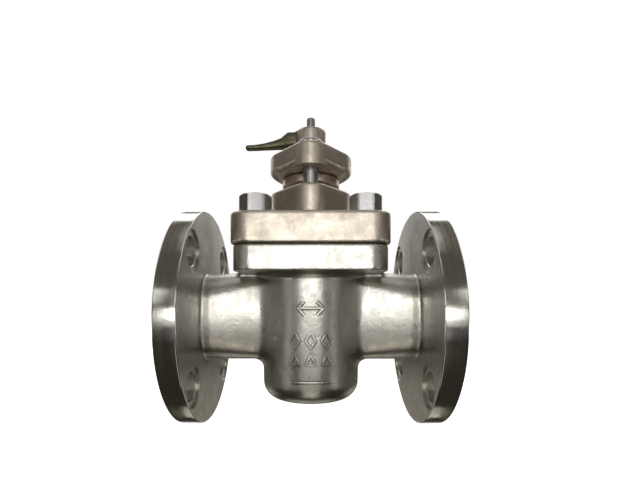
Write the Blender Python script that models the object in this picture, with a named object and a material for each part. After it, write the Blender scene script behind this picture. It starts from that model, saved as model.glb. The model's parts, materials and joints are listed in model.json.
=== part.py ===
"""Two-inch sleeved plug valve: flanged ends, bolted bonnet, packed stem and a short lever.

The pipe runs along X and the stem stands on Z. The origin lies on the stem axis, level with the
lowest point of the end flanges. Every size below is in millimetres, and every height is measured
from the pipe axis; the three empties lift the pieces to their place.
"""
import math

import bmesh
import bpy
from mathutils import Matrix

MM = 0.001
GAP = 0.3
SMOOTH_ANGLE = math.radians(32)

# End flanges: 2 inch class 150, face to face 178
FLANGE_RADIUS = 75.0
FACE_X = 89.0
RAISED_FACE_RADIUS = 46.05
RAISED_FACE_HEIGHT = 1.6
FLANGE_BACK_X = 73.8
FLANGE_EDGE = 0.8
BORE_RADIUS = 25.0
FLANGE_HOLE_RADIUS = 9.5
FLANGE_HOLE_CIRCLE = 120.65 / 2
SPOT_FACE_RADIUS = 14.0
SPOT_FACE_DEPTH = 1.5

# Body barrel and the necks between barrel and flanges
BARREL_RADIUS = 35.2
BARREL_TAPER = 0.02
BARREL_BASE_Z = -58.5
BARREL_BASE_FILLET = 12.0
BARREL_TOP_Z = 24.0
BARREL_TOP_FILLET = 6.0
NECK_END_X = 24.0
NECK_HALF_WIDTH = (22.5, 27.0)
NECK_LOW_Z = (-30.0, -30.3)
NECK_HIGH_Z = (31.5, 30.3)
NECK_CORNER = (11.0, 20.0)
NECK_FILLET = 6.0

# Square top plate of the body and the bonnet plate on it
PLATE_CORNER = 13.0
PLATE_EDGE = 1.6
PLATE_UNDER_EDGE = 0.9
BODY_PLATE_HALF = 49.6
BODY_PLATE_LOW_Z = 30.5
BODY_TOP_Z = 47.0
BONNET_PLATE_HALF = 51.0
BONNET_LOW_Z = BODY_TOP_Z + GAP
BONNET_PLATE_TOP_Z = 67.1

# Tapered plug, its sleeve and the passage through them
PLUG_RADIUS = 25.5
PLUG_TAPER = 0.049
PLUG_LOW_Z = -40.0
PLUG_HIGH_Z = 38.0
PLUG_CHAMFER = 1.5
PORT_HALF_WIDTH = 12.0
PORT_HALF_HEIGHT = 23.0
PORT_CORNER = 8.0
WINDOW_MARGIN = 0.6
SLEEVE_WALL = 2.5
SLEEVE_LOW_Z = -43.0
SLEEVE_HIGH_Z = 37.7
CAVITY_LOW_Z = -46.0
SEAT_Z = 44.1
SEAT_RADIUS = 33.9
PASSAGE_ROUND_X = 82.0
PASSAGE_WINDOW_X = 32.0

# Stem, in one piece with the plug, and its drive end
STEM_RADIUS = 10.0
STEM_CLEARANCE = 0.4
STEM_SHOULDER_Z = 115.3
DRIVE_RADIUS = 7.0
DRIVE_HALF_FLAT = 5.0
DRIVE_TOP_Z = 126.6

# Rings between plug and bonnet
THRUST_COLLAR_RADIUS = 25.0
THIN_RING_RADIUS = SEAT_RADIUS - GAP
DIAPHRAGM_Z = (44.4, 45.6)
GASKET_INNER_RADIUS = 29.5
GASKET_Z = (45.9, 47.0)
SPIGOT_RADIUS = GASKET_INNER_RADIUS - GAP
SPIGOT_LOW_Z = 45.9

# Hexagon heads: end chamfer of a thread, washer face, top face and crown as shares of the head
THREAD_END = 0.8
WASHER_FACE = 0.4
BOLT_FACE = 0.94
BOLT_CROWN = 0.75

# Bonnet bolts, M12: length, radius, width across flats and head height
BONNET_BOLT_OFFSET = 35.6
BONNET_BOLT = (30.0, 5.9, 18.7, 12.0)
BONNET_BOLT_TURNS = (10.0, 23.0, -5.0, 41.0)
BONNET_HOLE_RADIUS = 6.5
TAPPED_HOLE_RADIUS = 6.2
TAPPED_HOLE_LOW_Z = 35.0

# Stuffing box, lozenge boss and gland
BOSS_TOP_Z = 87.5
BOSS_EDGE = 1.5
LOZENGE_SIDE = 29.5
LOZENGE_NOSE = 12.4
EAR_Y = 27.2
STUFFING_RADIUS = 16.0
STUFFING_LOW_Z = 62.0
PACKING_OUTER = STUFFING_RADIUS - GAP
PACKING_INNER = STEM_RADIUS + STEM_CLEARANCE
BASE_RING_HEIGHT = 3.0
PACKING_HEIGHT = 4.6
PACKING_COUNT = 3
COLLAR_RADIUS = 20.6
COLLAR_LOW_Z = 93.4
GLAND_LOW_Z = 99.4
GLAND_TOP_Z = 114.0
GLAND_EDGE = 1.2
GLAND_BEVEL = 3.5
GLAND_BEVEL_INSET = 6.0

# Gland bolts, M10, with washers: length, shank radius, head radius and head height; the head is a
# low dome, given as shares of its radius and height, with an inner hexagon
GLAND_BOLT = (40.0, 4.9, 8.0, 2.4)
DOME = ((1.0, 0.3), (0.95, 0.62), (0.82, 0.87), (0.6, 1.0))
SOCKET_FLATS = 6.0
SOCKET_DEPTH = 4.0
GLAND_HOLE_RADIUS = 5.3
GLAND_TAPPED_LOW_Z = 70.5
WASHER_RADIUS = 10.0
WASHER_HEIGHT = 1.4

# Stop pins pressed into the gland flange, met by the lever's tab
PIN_RADIUS = 2.0
PIN_CIRCLE = 15.0
PIN_LOW_Z = 107.5
PIN_TOP_Z = 119.6
OPEN_PIN_ANGLE = 203.5
CLOSED_PIN_ANGLE = 66.5

# Lever: hub, arm along -X and stop tab
HUB_RADIUS = 10.8
HUB_LOW_Z = 115.6
HUB_TOP_Z = 135.4
HUB_EDGE = 1.0
HUB_RECESS_RADIUS = 8.3
HUB_WEB_TOP_Z = 129.4
TAB_REACH = 16.5
TAB_HALF_WIDTH = 3.6
TAB_Z = (115.6, 119.8)
LEVER_REACH = 47.9

# M6 stud, washer and nut that hold the lever on the stem
STUD_RADIUS = 3.0
STUD_HOLE_RADIUS = 3.3
STUD_LOW_Z = 112.0
STUD_HOLE_LOW_Z = 111.0
STUD_TOP_Z = 144.9
STUD_CHAMFER = 0.5
LEVER_WASHER_RADIUS = 7.4
LEVER_WASHER_Z = (129.7, 131.0)
LEVER_NUT_FLATS = 10.0
LEVER_NUT_Z = (131.3, 134.3)

# Steps round a full turn, and along a quarter-turn corner
BODY_STEPS = 40
STEPS = 32
SMALL_STEPS = 16
HEXAGON_STEPS = 12
CORNER_STEPS = 4


def clear_scene():
    """Empty the scene without touching the file."""
    for obj in list(bpy.data.objects):
        bpy.data.objects.remove(obj, do_unlink=True)


def metal(name, colour, roughness, metallic=1.0):
    """A Principled material."""
    material = bpy.data.materials.new(name)
    material.use_nodes = True
    shader = material.node_tree.nodes["Principled BSDF"]
    shader.inputs["Base Color"].default_value = (*colour, 1.0)
    shader.inputs["Roughness"].default_value = roughness
    shader.inputs["Metallic"].default_value = metallic
    return material


def empty(name):
    """A parent for the pieces of one body, on the stem axis at the pipe's height."""
    holder = bpy.data.objects.new(name, None)
    holder.location = (0.0, 0.0, FLANGE_RADIUS * MM)
    bpy.context.scene.collection.objects.link(holder)
    return holder


def mesh_object(name, bm, material, parent):
    """Turn a bmesh in millimetres into a named object."""
    bmesh.ops.recalc_face_normals(bm, faces=bm.faces)
    mesh = bpy.data.meshes.new(name)
    bm.to_mesh(mesh)
    bm.free()
    mesh.transform(Matrix.Scale(MM, 4))
    mesh.materials.append(material)
    mesh.shade_smooth()
    mesh.set_sharp_from_angle(angle=SMOOTH_ANGLE)
    obj = bpy.data.objects.new(name, mesh)
    bpy.context.scene.collection.objects.link(obj)
    obj.parent = parent
    return obj


def lofted(name, loops, material, parent, ring=False):
    """Skin a list of loops that have the same number of points; a ring joins its last loop to its first."""
    bm = bmesh.new()
    rows = [[bm.verts.new(point) for point in loop] for loop in loops]
    pairs = list(zip(rows, rows[1:]))
    if ring:
        pairs.append((rows[-1], rows[0]))
    else:
        bm.faces.new(rows[0])
        bm.faces.new(rows[-1])
    for low, high in pairs:
        for i in range(len(low)):
            j = (i + 1) % len(low)
            bm.faces.new((low[i], low[j], high[j], high[i]))
    return mesh_object(name, bm, material, parent)


def circle(radius, height, steps, axis="Z", centre=(0.0, 0.0)):
    """A circle of points round an axis; centre is in the plane across the axis."""
    points = []
    for i in range(steps):
        angle = math.tau * i / steps
        u = centre[0] + radius * math.cos(angle)
        v = centre[1] + radius * math.sin(angle)
        points.append((u, v, height) if axis == "Z" else (height, u, v))
    return points


def turned(name, profile, material, parent, steps=STEPS, axis="Z", centre=(0.0, 0.0), ring=False):
    """A body of revolution from (radius, height) pairs; a ring's profile is a closed loop."""
    loops = [circle(radius, height, steps, axis, centre) for radius, height in profile]
    return lofted(name, loops, material, parent, ring)


def arc(radius, start, end, count):
    """Points of an arc about the origin, angles in degrees, both ends included."""
    points = []
    for i in range(count + 1):
        angle = math.radians(start + (end - start) * i / count)
        points.append((radius * math.cos(angle), radius * math.sin(angle)))
    return points


def washer(name, inner, outer, low, high, material, parent, centre=(0.0, 0.0), steps=STEPS):
    """A flat ring."""
    profile = [(inner, low), (outer, low), (outer, high), (inner, high)]
    return turned(name, profile, material, parent, steps, centre=centre, ring=True)


def boolean(obj, operation, tool):
    """Add a live Boolean with a hidden tool."""
    tool.hide_render = True
    tool.display_type = "WIRE"
    modifier = obj.modifiers.new(tool.name, "BOOLEAN")
    modifier.operation = operation
    modifier.solver = "EXACT"
    modifier.object = tool


def cut(obj, *tools):
    for tool in tools:
        boolean(obj, "DIFFERENCE", tool)


def join(obj, *tools):
    for tool in tools:
        boolean(obj, "UNION", tool)


def plug_radius(z):
    return PLUG_RADIUS + PLUG_TAPER * z


def bore_radius(z):
    return plug_radius(z) + SLEEVE_WALL + 2 * GAP


def barrel_radius(z):
    return BARREL_RADIUS + BARREL_TAPER * z


def rounded_rectangle(half_width, low, high, corner, count=CORNER_STEPS):
    """Outline with four round corners, as (u, v) points anticlockwise."""
    points = []
    centres = (
        (half_width - corner, high - corner),
        (corner - half_width, high - corner),
        (corner - half_width, low + corner),
        (half_width - corner, low + corner),
    )
    for quarter, (u, v) in enumerate(centres):
        for du, dv in arc(corner, 90 * quarter, 90 * quarter + 90, count):
            points.append((u + du, v + dv))
    return points


def square_loop(half, z, inset=0.0):
    """One level of a square plate with round corners."""
    side = half - inset
    return [(x, y, z) for x, y in rounded_rectangle(side, -side, side, PLATE_CORNER - inset)]


def lozenge_loop(z, side=LOZENGE_SIDE, nose=LOZENGE_NOSE):
    """One level of the two-eared lozenge: a centre circle and two ears joined by tangents."""
    lean = math.degrees(math.asin((side - nose) / EAR_Y))
    spans = (
        (side, 0.0, -lean, lean),
        (nose, EAR_Y, lean, 180.0 - lean),
        (side, 0.0, 180.0 - lean, 180.0 + lean),
        (nose, -EAR_Y, 180.0 + lean, 360.0 - lean),
    )
    points = []
    for radius, y, start, end in spans:
        for dx, dy in arc(radius, start, end, CORNER_STEPS + 2):
            points.append((dx, y + dy, z))
    return points


def rounded_edge(edge, count=3):
    """(inset, drop) pairs from a flat face round to the side of a plate."""
    return [(edge - across, edge - up) for across, up in arc(edge, 90, 0, count)]


def plate(name, half, low, high, under_edge, material, parent):
    """Square plate with round corners, rounded on top and by under_edge below."""
    loops = [square_loop(half, low + drop, inset) for inset, drop in rounded_edge(under_edge)]
    loops += [square_loop(half, high - drop, inset) for inset, drop in reversed(rounded_edge(PLATE_EDGE))]
    return lofted(name, loops, material, parent)


def barrel_profile():
    """Tapered barrel with a filleted base and a flare under the top plate."""
    base_radius = barrel_radius(BARREL_BASE_Z + BARREL_BASE_FILLET)
    profile = []
    for across, down in arc(BARREL_BASE_FILLET, -90, 0, 6):
        radius = base_radius - BARREL_BASE_FILLET + across
        profile.append((radius, BARREL_BASE_Z + BARREL_BASE_FILLET + down))
    for across, up in arc(BARREL_TOP_FILLET, 180, 90, 4):
        radius = barrel_radius(BARREL_TOP_Z) + BARREL_TOP_FILLET + across
        profile.append((radius, BARREL_TOP_Z + up))
    profile.append((profile[-1][0], BODY_PLATE_LOW_Z + PLATE_EDGE))
    return profile


def flange_profile(side):
    """Raised-face flange as (radius, x) pairs, from its face to its back."""
    shoulder = FACE_X - RAISED_FACE_HEIGHT
    pairs = (
        (RAISED_FACE_RADIUS, FACE_X),
        (RAISED_FACE_RADIUS, shoulder),
        (FLANGE_RADIUS - FLANGE_EDGE, shoulder),
        (FLANGE_RADIUS, shoulder - FLANGE_EDGE),
        (FLANGE_RADIUS, FLANGE_BACK_X + FLANGE_EDGE),
        (FLANGE_RADIUS - FLANGE_EDGE, FLANGE_BACK_X),
    )
    return [(radius, side * x) for radius, x in pairs]


def between(pair, share):
    """A value between a pair's two ends."""
    return pair[0] + (pair[1] - pair[0]) * share


def neck_loops(side):
    """Sections from inside the barrel out to the flange, flared at both ends.

    Each station is (x, share of the way to the flange's section, flare); every pair of neck sizes
    holds the section at the barrel and the one at the flange.
    """
    barrel_x = barrel_radius(0.0) - 2.0
    stations = (
        (NECK_END_X, 0.0, NECK_FILLET),
        (barrel_x, 0.0, NECK_FILLET),
        (barrel_x + NECK_FILLET / 2, 0.05, NECK_FILLET / 3),
        (barrel_x + NECK_FILLET, 0.15, 0.0),
        (FLANGE_BACK_X - NECK_FILLET, 1.0, 0.0),
        (FLANGE_BACK_X - NECK_FILLET / 2, 1.0, NECK_FILLET / 5),
        (FLANGE_BACK_X - 1.0, 1.0, NECK_FILLET * 0.6),
        (FLANGE_BACK_X + 2.0, 1.0, NECK_FILLET * 0.7),
    )
    ceiling = BODY_PLATE_LOW_Z + PLATE_EDGE
    loops = []
    for x, share, flare in stations:
        half = between(NECK_HALF_WIDTH, share) + flare
        low = between(NECK_LOW_Z, share) - flare
        high = min(between(NECK_HIGH_Z, share) + flare, ceiling)
        corner = between(NECK_CORNER, share) + flare
        loops.append([(side * x, y, z) for y, z in rounded_rectangle(half, low, high, corner)])
    return loops


def passage_loops(margin):
    """Through passage: round at the faces, a tall rounded window at the plug."""
    window = (PORT_HALF_WIDTH + margin, PORT_HALF_HEIGHT + margin, PORT_CORNER + margin)
    round_end = (BORE_RADIUS, BORE_RADIUS, BORE_RADIUS - 0.01)
    stations = (
        (-FACE_X - 1.0, round_end),
        (-PASSAGE_ROUND_X, round_end),
        (-PASSAGE_WINDOW_X, window),
        (PASSAGE_WINDOW_X, window),
        (PASSAGE_ROUND_X, round_end),
        (FACE_X + 1.0, round_end),
    )
    loops = []
    for x, (half, high, corner) in stations:
        loops.append([(x, y, z) for y, z in rounded_rectangle(half, -high, high, corner)])
    return loops


def corner_places(offset):
    return [(x * offset, y * offset) for x in (-1, 1) for y in (-1, 1)]


def make_valve_body(material, parent):
    """Cast body: barrel, necks, flanges and top plate, with cavity, passage and bolt holes."""
    body = turned("valve_body", barrel_profile(), material, parent, BODY_STEPS)
    top = plate("body_plate_tool", BODY_PLATE_HALF, BODY_PLATE_LOW_Z, BODY_TOP_Z, PLATE_UNDER_EDGE,
                material, parent)
    join(body, top)
    for side in (-1, 1):
        neck = lofted(f"neck_tool_{side}", neck_loops(side), material, parent)
        flange = turned(f"flange_tool_{side}", flange_profile(side), material, parent, BODY_STEPS, "X")
        join(body, neck, flange)
    cavity = [
        (bore_radius(CAVITY_LOW_Z), CAVITY_LOW_Z),
        (bore_radius(SEAT_Z), SEAT_Z),
        (SEAT_RADIUS, SEAT_Z),
        (SEAT_RADIUS, BODY_TOP_Z + 1.0),
    ]
    cut(body, turned("cavity_tool", cavity, material, parent))
    cut(body, lofted("passage_tool", passage_loops(WINDOW_MARGIN), material, parent))
    for number, place in enumerate(corner_places(FLANGE_HOLE_CIRCLE * math.sqrt(0.5))):
        for side in (-1, 1):
            hole = [
                (FLANGE_HOLE_RADIUS, side * (FACE_X + 1.0)),
                (FLANGE_HOLE_RADIUS, side * (FLANGE_BACK_X + SPOT_FACE_DEPTH)),
                (SPOT_FACE_RADIUS, side * (FLANGE_BACK_X + SPOT_FACE_DEPTH)),
                (SPOT_FACE_RADIUS, side * (FLANGE_BACK_X - 6.0)),
            ]
            name = f"flange_hole_tool_{number}_{side}"
            cut(body, turned(name, hole, material, parent, SMALL_STEPS, "X", place))
    for number, place in enumerate(corner_places(BONNET_BOLT_OFFSET)):
        hole = [(TAPPED_HOLE_RADIUS, TAPPED_HOLE_LOW_Z), (TAPPED_HOLE_RADIUS, BODY_TOP_Z + 1.0)]
        cut(body, turned(f"tapped_hole_tool_{number}", hole, material, parent, SMALL_STEPS, centre=place))


def make_plug(material, parent):
    """Tapered plug with its port, stem and double-D drive end."""
    profile = [
        (plug_radius(PLUG_LOW_Z) - PLUG_CHAMFER, PLUG_LOW_Z),
        (plug_radius(PLUG_LOW_Z), PLUG_LOW_Z + PLUG_CHAMFER),
        (plug_radius(PLUG_HIGH_Z), PLUG_HIGH_Z - PLUG_CHAMFER),
        (plug_radius(PLUG_HIGH_Z) - PLUG_CHAMFER, PLUG_HIGH_Z),
        (STEM_RADIUS, PLUG_HIGH_Z),
        (STEM_RADIUS, STEM_SHOULDER_Z),
        (DRIVE_RADIUS, STEM_SHOULDER_Z),
        (DRIVE_RADIUS, DRIVE_TOP_Z),
    ]
    plug = turned("plug", profile, material, parent)
    port = rounded_rectangle(PORT_HALF_WIDTH, -PORT_HALF_HEIGHT, PORT_HALF_HEIGHT, PORT_CORNER)
    reach = PLUG_RADIUS + 5.0
    cut(plug, lofted("port_tool", [[(x, y, z) for y, z in port] for x in (-reach, reach)], material, parent))
    for side in (-1, 1):
        low = (STEM_SHOULDER_Z, side * DRIVE_HALF_FLAT)
        high = (DRIVE_TOP_Z + 1.0, side * (DRIVE_RADIUS + 1.0))
        cut(plug, block(f"drive_flat_tool_{side}", DRIVE_RADIUS + 1.0, low, high, material, parent))
    hole = [(STUD_HOLE_RADIUS, STUD_HOLE_LOW_Z), (STUD_HOLE_RADIUS, DRIVE_TOP_Z + 1.0)]
    cut(plug, turned("stud_hole_tool", hole, material, parent, SMALL_STEPS))


def block(name, half_x, low, high, material, parent):
    """A block from x = -half_x to half_x between two (z, y) corners."""
    loops = []
    for z in (low[0], high[0]):
        loops.append([(-half_x, low[1], z), (half_x, low[1], z), (half_x, high[1], z), (-half_x, high[1], z)])
    return lofted(name, loops, material, parent)


def make_sleeve(material, parent):
    """Tapered sleeve between plug and body, with a window at each end of the port."""
    inner = GAP
    outer = GAP + SLEEVE_WALL
    profile = [
        (plug_radius(SLEEVE_LOW_Z) + inner, SLEEVE_LOW_Z),
        (plug_radius(SLEEVE_LOW_Z) + outer, SLEEVE_LOW_Z),
        (plug_radius(SLEEVE_HIGH_Z) + outer, SLEEVE_HIGH_Z),
        (plug_radius(SLEEVE_HIGH_Z) + inner, SLEEVE_HIGH_Z),
    ]
    sleeve = turned("plug_sleeve", profile, material, parent, ring=True)
    cut(sleeve, lofted("window_tool", passage_loops(WINDOW_MARGIN), material, parent))


def make_bonnet(material, parent):
    """Square bonnet plate with the stuffing-box boss, bored for stem, packing and bolts."""
    bonnet = plate("bonnet", BONNET_PLATE_HALF, BONNET_LOW_Z, BONNET_PLATE_TOP_Z, PLATE_EDGE,
                   material, parent)
    edge = rounded_edge(BOSS_EDGE)
    loops = [lozenge_loop(BONNET_PLATE_TOP_Z - 4.0)]
    for inset, drop in reversed(edge):
        loops.append(lozenge_loop(BOSS_TOP_Z - drop, LOZENGE_SIDE - inset, LOZENGE_NOSE - inset))
    join(bonnet, lofted("boss_tool", loops, material, parent))
    spigot = [(SPIGOT_RADIUS, SPIGOT_LOW_Z), (SPIGOT_RADIUS, BONNET_LOW_Z + 4.0)]
    join(bonnet, turned("spigot_tool", spigot, material, parent))
    bore = [
        (PACKING_INNER, SPIGOT_LOW_Z - 1.0),
        (PACKING_INNER, STUFFING_LOW_Z),
        (STUFFING_RADIUS, STUFFING_LOW_Z),
        (STUFFING_RADIUS, BOSS_TOP_Z + 1.0),
    ]
    cut(bonnet, turned("stuffing_box_tool", bore, material, parent))
    for number, place in enumerate(corner_places(BONNET_BOLT_OFFSET)):
        hole = [(BONNET_HOLE_RADIUS, BONNET_LOW_Z - 1.0), (BONNET_HOLE_RADIUS, BONNET_PLATE_TOP_Z + 1.0)]
        cut(bonnet, turned(f"bonnet_hole_tool_{number}", hole, material, parent, SMALL_STEPS, centre=place))
    for number, y in enumerate((-EAR_Y, EAR_Y)):
        hole = [(GLAND_HOLE_RADIUS, GLAND_TAPPED_LOW_Z), (GLAND_HOLE_RADIUS, BOSS_TOP_Z + 1.0)]
        name = f"gland_tapped_tool_{number}"
        cut(bonnet, turned(name, hole, material, parent, SMALL_STEPS, centre=(0.0, y)))


def hexagon_loop(flats, z, limit, centre, turn=0.0):
    """A hexagon clipped by a circle of radius limit, with corners along X before its turn in degrees."""
    points = []
    for i in range(HEXAGON_STEPS):
        off_flat = (math.tau * i / HEXAGON_STEPS) % (math.pi / 3) - math.pi / 6
        angle = math.tau * i / HEXAGON_STEPS + math.radians(turn)
        radius = min(flats / 2 / math.cos(off_flat), limit)
        points.append((centre[0] + radius * math.cos(angle), centre[1] + radius * math.sin(angle), z))
    return points


def hex_bolt(name, place, seat, sizes, material, parent, turn=0.0):
    """Hexagon-head bolt whose head sits at height seat; sizes are length, radius, flats and head height."""
    length, radius, flats, head = sizes
    corner = flats / math.sqrt(3)
    face = flats / 2 * BOLT_FACE
    crown = (corner - face) * BOLT_CROWN
    loops = [
        circle(radius - THREAD_END, seat - length, HEXAGON_STEPS, centre=place),
        circle(radius, seat - length + THREAD_END, HEXAGON_STEPS, centre=place),
        circle(radius, seat, HEXAGON_STEPS, centre=place),
        circle(face, seat, HEXAGON_STEPS, centre=place),
        hexagon_loop(flats, seat + WASHER_FACE, corner, place, turn),
        hexagon_loop(flats, seat + head - crown, corner, place, turn),
        hexagon_loop(flats, seat + head - crown / 2, (corner + face) / 2, place, turn),
        circle(face, seat + head, HEXAGON_STEPS, centre=place),
    ]
    return lofted(name, loops, material, parent)


def dome_bolt(name, place, seat, sizes, material, parent):
    """Bolt with a low domed head on height seat, and a hexagon socket in the dome."""
    length, radius, head_radius, head = sizes
    top = seat + head
    corner = SOCKET_FLATS / math.sqrt(3)
    loops = [
        circle(radius - THREAD_END, seat - length, HEXAGON_STEPS, centre=place),
        circle(radius, seat - length + THREAD_END, HEXAGON_STEPS, centre=place),
        circle(radius, seat, HEXAGON_STEPS, centre=place),
        circle(head_radius, seat, HEXAGON_STEPS, centre=place),
    ]
    for across, up in DOME:
        loops.append(circle(head_radius * across, seat + head * up, HEXAGON_STEPS, centre=place))
    loops.append(hexagon_loop(SOCKET_FLATS, top, corner, place))
    loops.append(hexagon_loop(SOCKET_FLATS, top - SOCKET_DEPTH, corner, place))
    return lofted(name, loops, material, parent)


def make_gland_flange(material, parent):
    """Lozenge flange that presses the bush down, bevelled under its sides."""
    loops = [
        lozenge_loop(GLAND_LOW_Z, LOZENGE_SIDE - GLAND_BEVEL_INSET),
        lozenge_loop(GLAND_LOW_Z + GLAND_BEVEL),
    ]
    for inset, drop in reversed(rounded_edge(GLAND_EDGE)):
        loops.append(lozenge_loop(GLAND_TOP_Z - drop, LOZENGE_SIDE - inset, LOZENGE_NOSE - inset))
    flange = lofted("gland_flange", loops, material, parent)
    holes = [("stem_hole_tool", PACKING_INNER, GLAND_LOW_Z - 1.0, (0.0, 0.0))]
    for side in (-1, 1):
        holes.append((f"gland_hole_tool_{side}", GLAND_HOLE_RADIUS, GLAND_LOW_Z - 1.0, (0.0, side * EAR_Y)))
    for angle in (OPEN_PIN_ANGLE, CLOSED_PIN_ANGLE):
        name = f"pin_hole_tool_{angle:.0f}"
        holes.append((name, PIN_RADIUS + GAP, PIN_LOW_Z - GAP, pin_place(angle)))
    for name, radius, low, place in holes:
        steps = STEPS if radius == PACKING_INNER else SMALL_STEPS
        profile = [(radius, low), (radius, GLAND_TOP_Z + 1.0)]
        cut(flange, turned(name, profile, material, parent, steps, centre=place))


def pin_place(angle):
    turn = math.radians(angle)
    return (PIN_CIRCLE * math.cos(turn), PIN_CIRCLE * math.sin(turn))


def make_gland_bush(material, parent):
    """Bush that rides in the stuffing box, with a wide collar under the gland flange."""
    low = packing_top() + GAP
    profile = [
        (PACKING_INNER, low),
        (PACKING_OUTER, low),
        (PACKING_OUTER, COLLAR_LOW_Z),
        (COLLAR_RADIUS, COLLAR_LOW_Z),
        (COLLAR_RADIUS, GLAND_LOW_Z - GAP),
        (PACKING_INNER, GLAND_LOW_Z - GAP),
    ]
    turned("gland_bush", profile, material, parent, ring=True)


def packing_low(number):
    """Height of the underside of packing ring number 1, 2 or 3."""
    first = STUFFING_LOW_Z + GAP + BASE_RING_HEIGHT + GAP
    return first + (number - 1) * (PACKING_HEIGHT + GAP)


def packing_top():
    return packing_low(PACKING_COUNT) + PACKING_HEIGHT


def make_gland_fasteners(bolt_material, washer_material, parent):
    """Bolt and washer on each ear of the gland flange."""
    seat = GLAND_TOP_Z + GAP
    for word, y in (("front", -EAR_Y), ("back", EAR_Y)):
        place = (0.0, y)
        washer(f"gland_washer_{word}", GLAND_HOLE_RADIUS, WASHER_RADIUS, seat, seat + WASHER_HEIGHT,
               washer_material, parent, place, SMALL_STEPS)
        dome_bolt(f"gland_bolt_{word}", place, seat + WASHER_HEIGHT + GAP, GLAND_BOLT, bolt_material, parent)


def lever_arm_loops():
    """Cross-sections of the arm from inside the hub out to its round end, as (x, half width, low, high)."""
    sections = (
        (-8.0, 4.2, 123.4, 135.7),
        (-10.6, 4.6, 123.2, 135.7),
        (-11.6, 4.6, 123.1, 134.9),
        (-16.8, 4.6, 122.8, 134.7),
        (-18.8, 4.3, 122.7, 133.3),
        (-22.0, 3.8, 122.6, 130.6),
        (-28.0, 3.3, 122.5, 128.4),
        (-34.0, 3.0, 122.4, 126.7),
        (-40.6, 3.0, 122.2, 125.5),
        (-44.5, 2.9, 122.1, 125.3),
        (-46.9, 2.1, 122.5, 124.9),
        (-LEVER_REACH, 1.0, 123.1, 124.3),
    )
    loops = []
    for x, half, low, high in sections:
        corner = min(half, (high - low) / 2) * 0.6
        loops.append([(x, y, z) for y, z in rounded_rectangle(half, low, high, corner, 3)])
    return loops


def make_lever(material, parent):
    """Short lever: hub over the drive end, arm along -X and a stop tab under it."""
    hub_profile = [(HUB_RADIUS, HUB_LOW_Z), (HUB_RADIUS, HUB_TOP_Z - HUB_EDGE)]
    for inset, drop in reversed(rounded_edge(HUB_EDGE)[:-1]):
        hub_profile.append((HUB_RADIUS - inset, HUB_TOP_Z - drop))
    lever = turned("lever", hub_profile, material, parent)
    join(lever, lofted("lever_arm_tool", lever_arm_loops(), material, parent))
    tab = [[(-x, y, z) for x, y in ((6.0, -TAB_HALF_WIDTH), (TAB_REACH, -TAB_HALF_WIDTH),
                                   (TAB_REACH, TAB_HALF_WIDTH), (6.0, TAB_HALF_WIDTH))]
           for z in (TAB_Z[0] + 0.1, TAB_Z[1])]
    join(lever, lofted("lever_tab_tool", tab, material, parent))
    radius = DRIVE_RADIUS + GAP
    flat = DRIVE_HALF_FLAT + GAP
    lean = math.degrees(math.asin(flat / radius))
    outline = arc(radius, -lean, lean, 6) + arc(radius, 180.0 - lean, 180.0 + lean, 6)
    drive = [[(x, y, z) for x, y in outline] for z in (HUB_LOW_Z - 1.0, DRIVE_TOP_Z + GAP)]
    cut(lever, lofted("drive_tool", drive, material, parent))
    recess = [(HUB_RECESS_RADIUS, HUB_WEB_TOP_Z), (HUB_RECESS_RADIUS, HUB_TOP_Z + 5.0)]
    cut(lever, turned("recess_tool", recess, material, parent))
    hole = [(STUD_HOLE_RADIUS, DRIVE_TOP_Z - 1.0), (STUD_HOLE_RADIUS, HUB_TOP_Z + 5.0)]
    cut(lever, turned("lever_stud_tool", hole, material, parent, SMALL_STEPS))


def make_lever_fasteners(bolt_material, washer_material, parent):
    """Stud in the stem's end, with a washer and a nut in the hub's recess."""
    stud = [
        (STUD_RADIUS - STUD_CHAMFER, STUD_LOW_Z),
        (STUD_RADIUS, STUD_LOW_Z + STUD_CHAMFER),
        (STUD_RADIUS, STUD_TOP_Z - STUD_CHAMFER),
        (STUD_RADIUS - STUD_CHAMFER, STUD_TOP_Z),
    ]
    turned("lever_stud", stud, bolt_material, parent, SMALL_STEPS)
    washer("lever_washer", STUD_HOLE_RADIUS, LEVER_WASHER_RADIUS, *LEVER_WASHER_Z,
           washer_material, parent, steps=SMALL_STEPS)
    low, high = LEVER_NUT_Z
    corner = LEVER_NUT_FLATS / math.sqrt(3)
    face = LEVER_NUT_FLATS / 2 * 0.95
    middle = (0.0, 0.0)
    loops = [
        circle(STUD_HOLE_RADIUS, low, HEXAGON_STEPS),
        circle(face, low, HEXAGON_STEPS),
        hexagon_loop(LEVER_NUT_FLATS, low + 0.5, corner, middle),
        hexagon_loop(LEVER_NUT_FLATS, high - 0.5, corner, middle),
        circle(face, high, HEXAGON_STEPS),
        circle(STUD_HOLE_RADIUS, high, HEXAGON_STEPS),
    ]
    lofted("lever_nut", loops, bolt_material, parent, ring=True)


def make_internals(steel, plastic, graphite, parent):
    """Rings between plug and bonnet, and the packing in the stuffing box."""
    washer("thrust_collar", PACKING_INNER + 0.2, THRUST_COLLAR_RADIUS, PLUG_HIGH_Z + GAP, SEAT_Z,
           steel, parent)
    washer("top_diaphragm", PACKING_INNER + 0.1, THIN_RING_RADIUS, *DIAPHRAGM_Z, plastic, parent)
    washer("bonnet_gasket", GASKET_INNER_RADIUS, THIN_RING_RADIUS, *GASKET_Z, graphite, parent)
    base_low = STUFFING_LOW_Z + GAP
    washer("packing_base_ring", PACKING_INNER, PACKING_OUTER, base_low, base_low + BASE_RING_HEIGHT,
           steel, parent)
    for number in range(1, PACKING_COUNT + 1):
        low = packing_low(number)
        washer(f"packing_ring_{number}", PACKING_INNER, PACKING_OUTER, low, low + PACKING_HEIGHT,
               graphite, parent)


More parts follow.
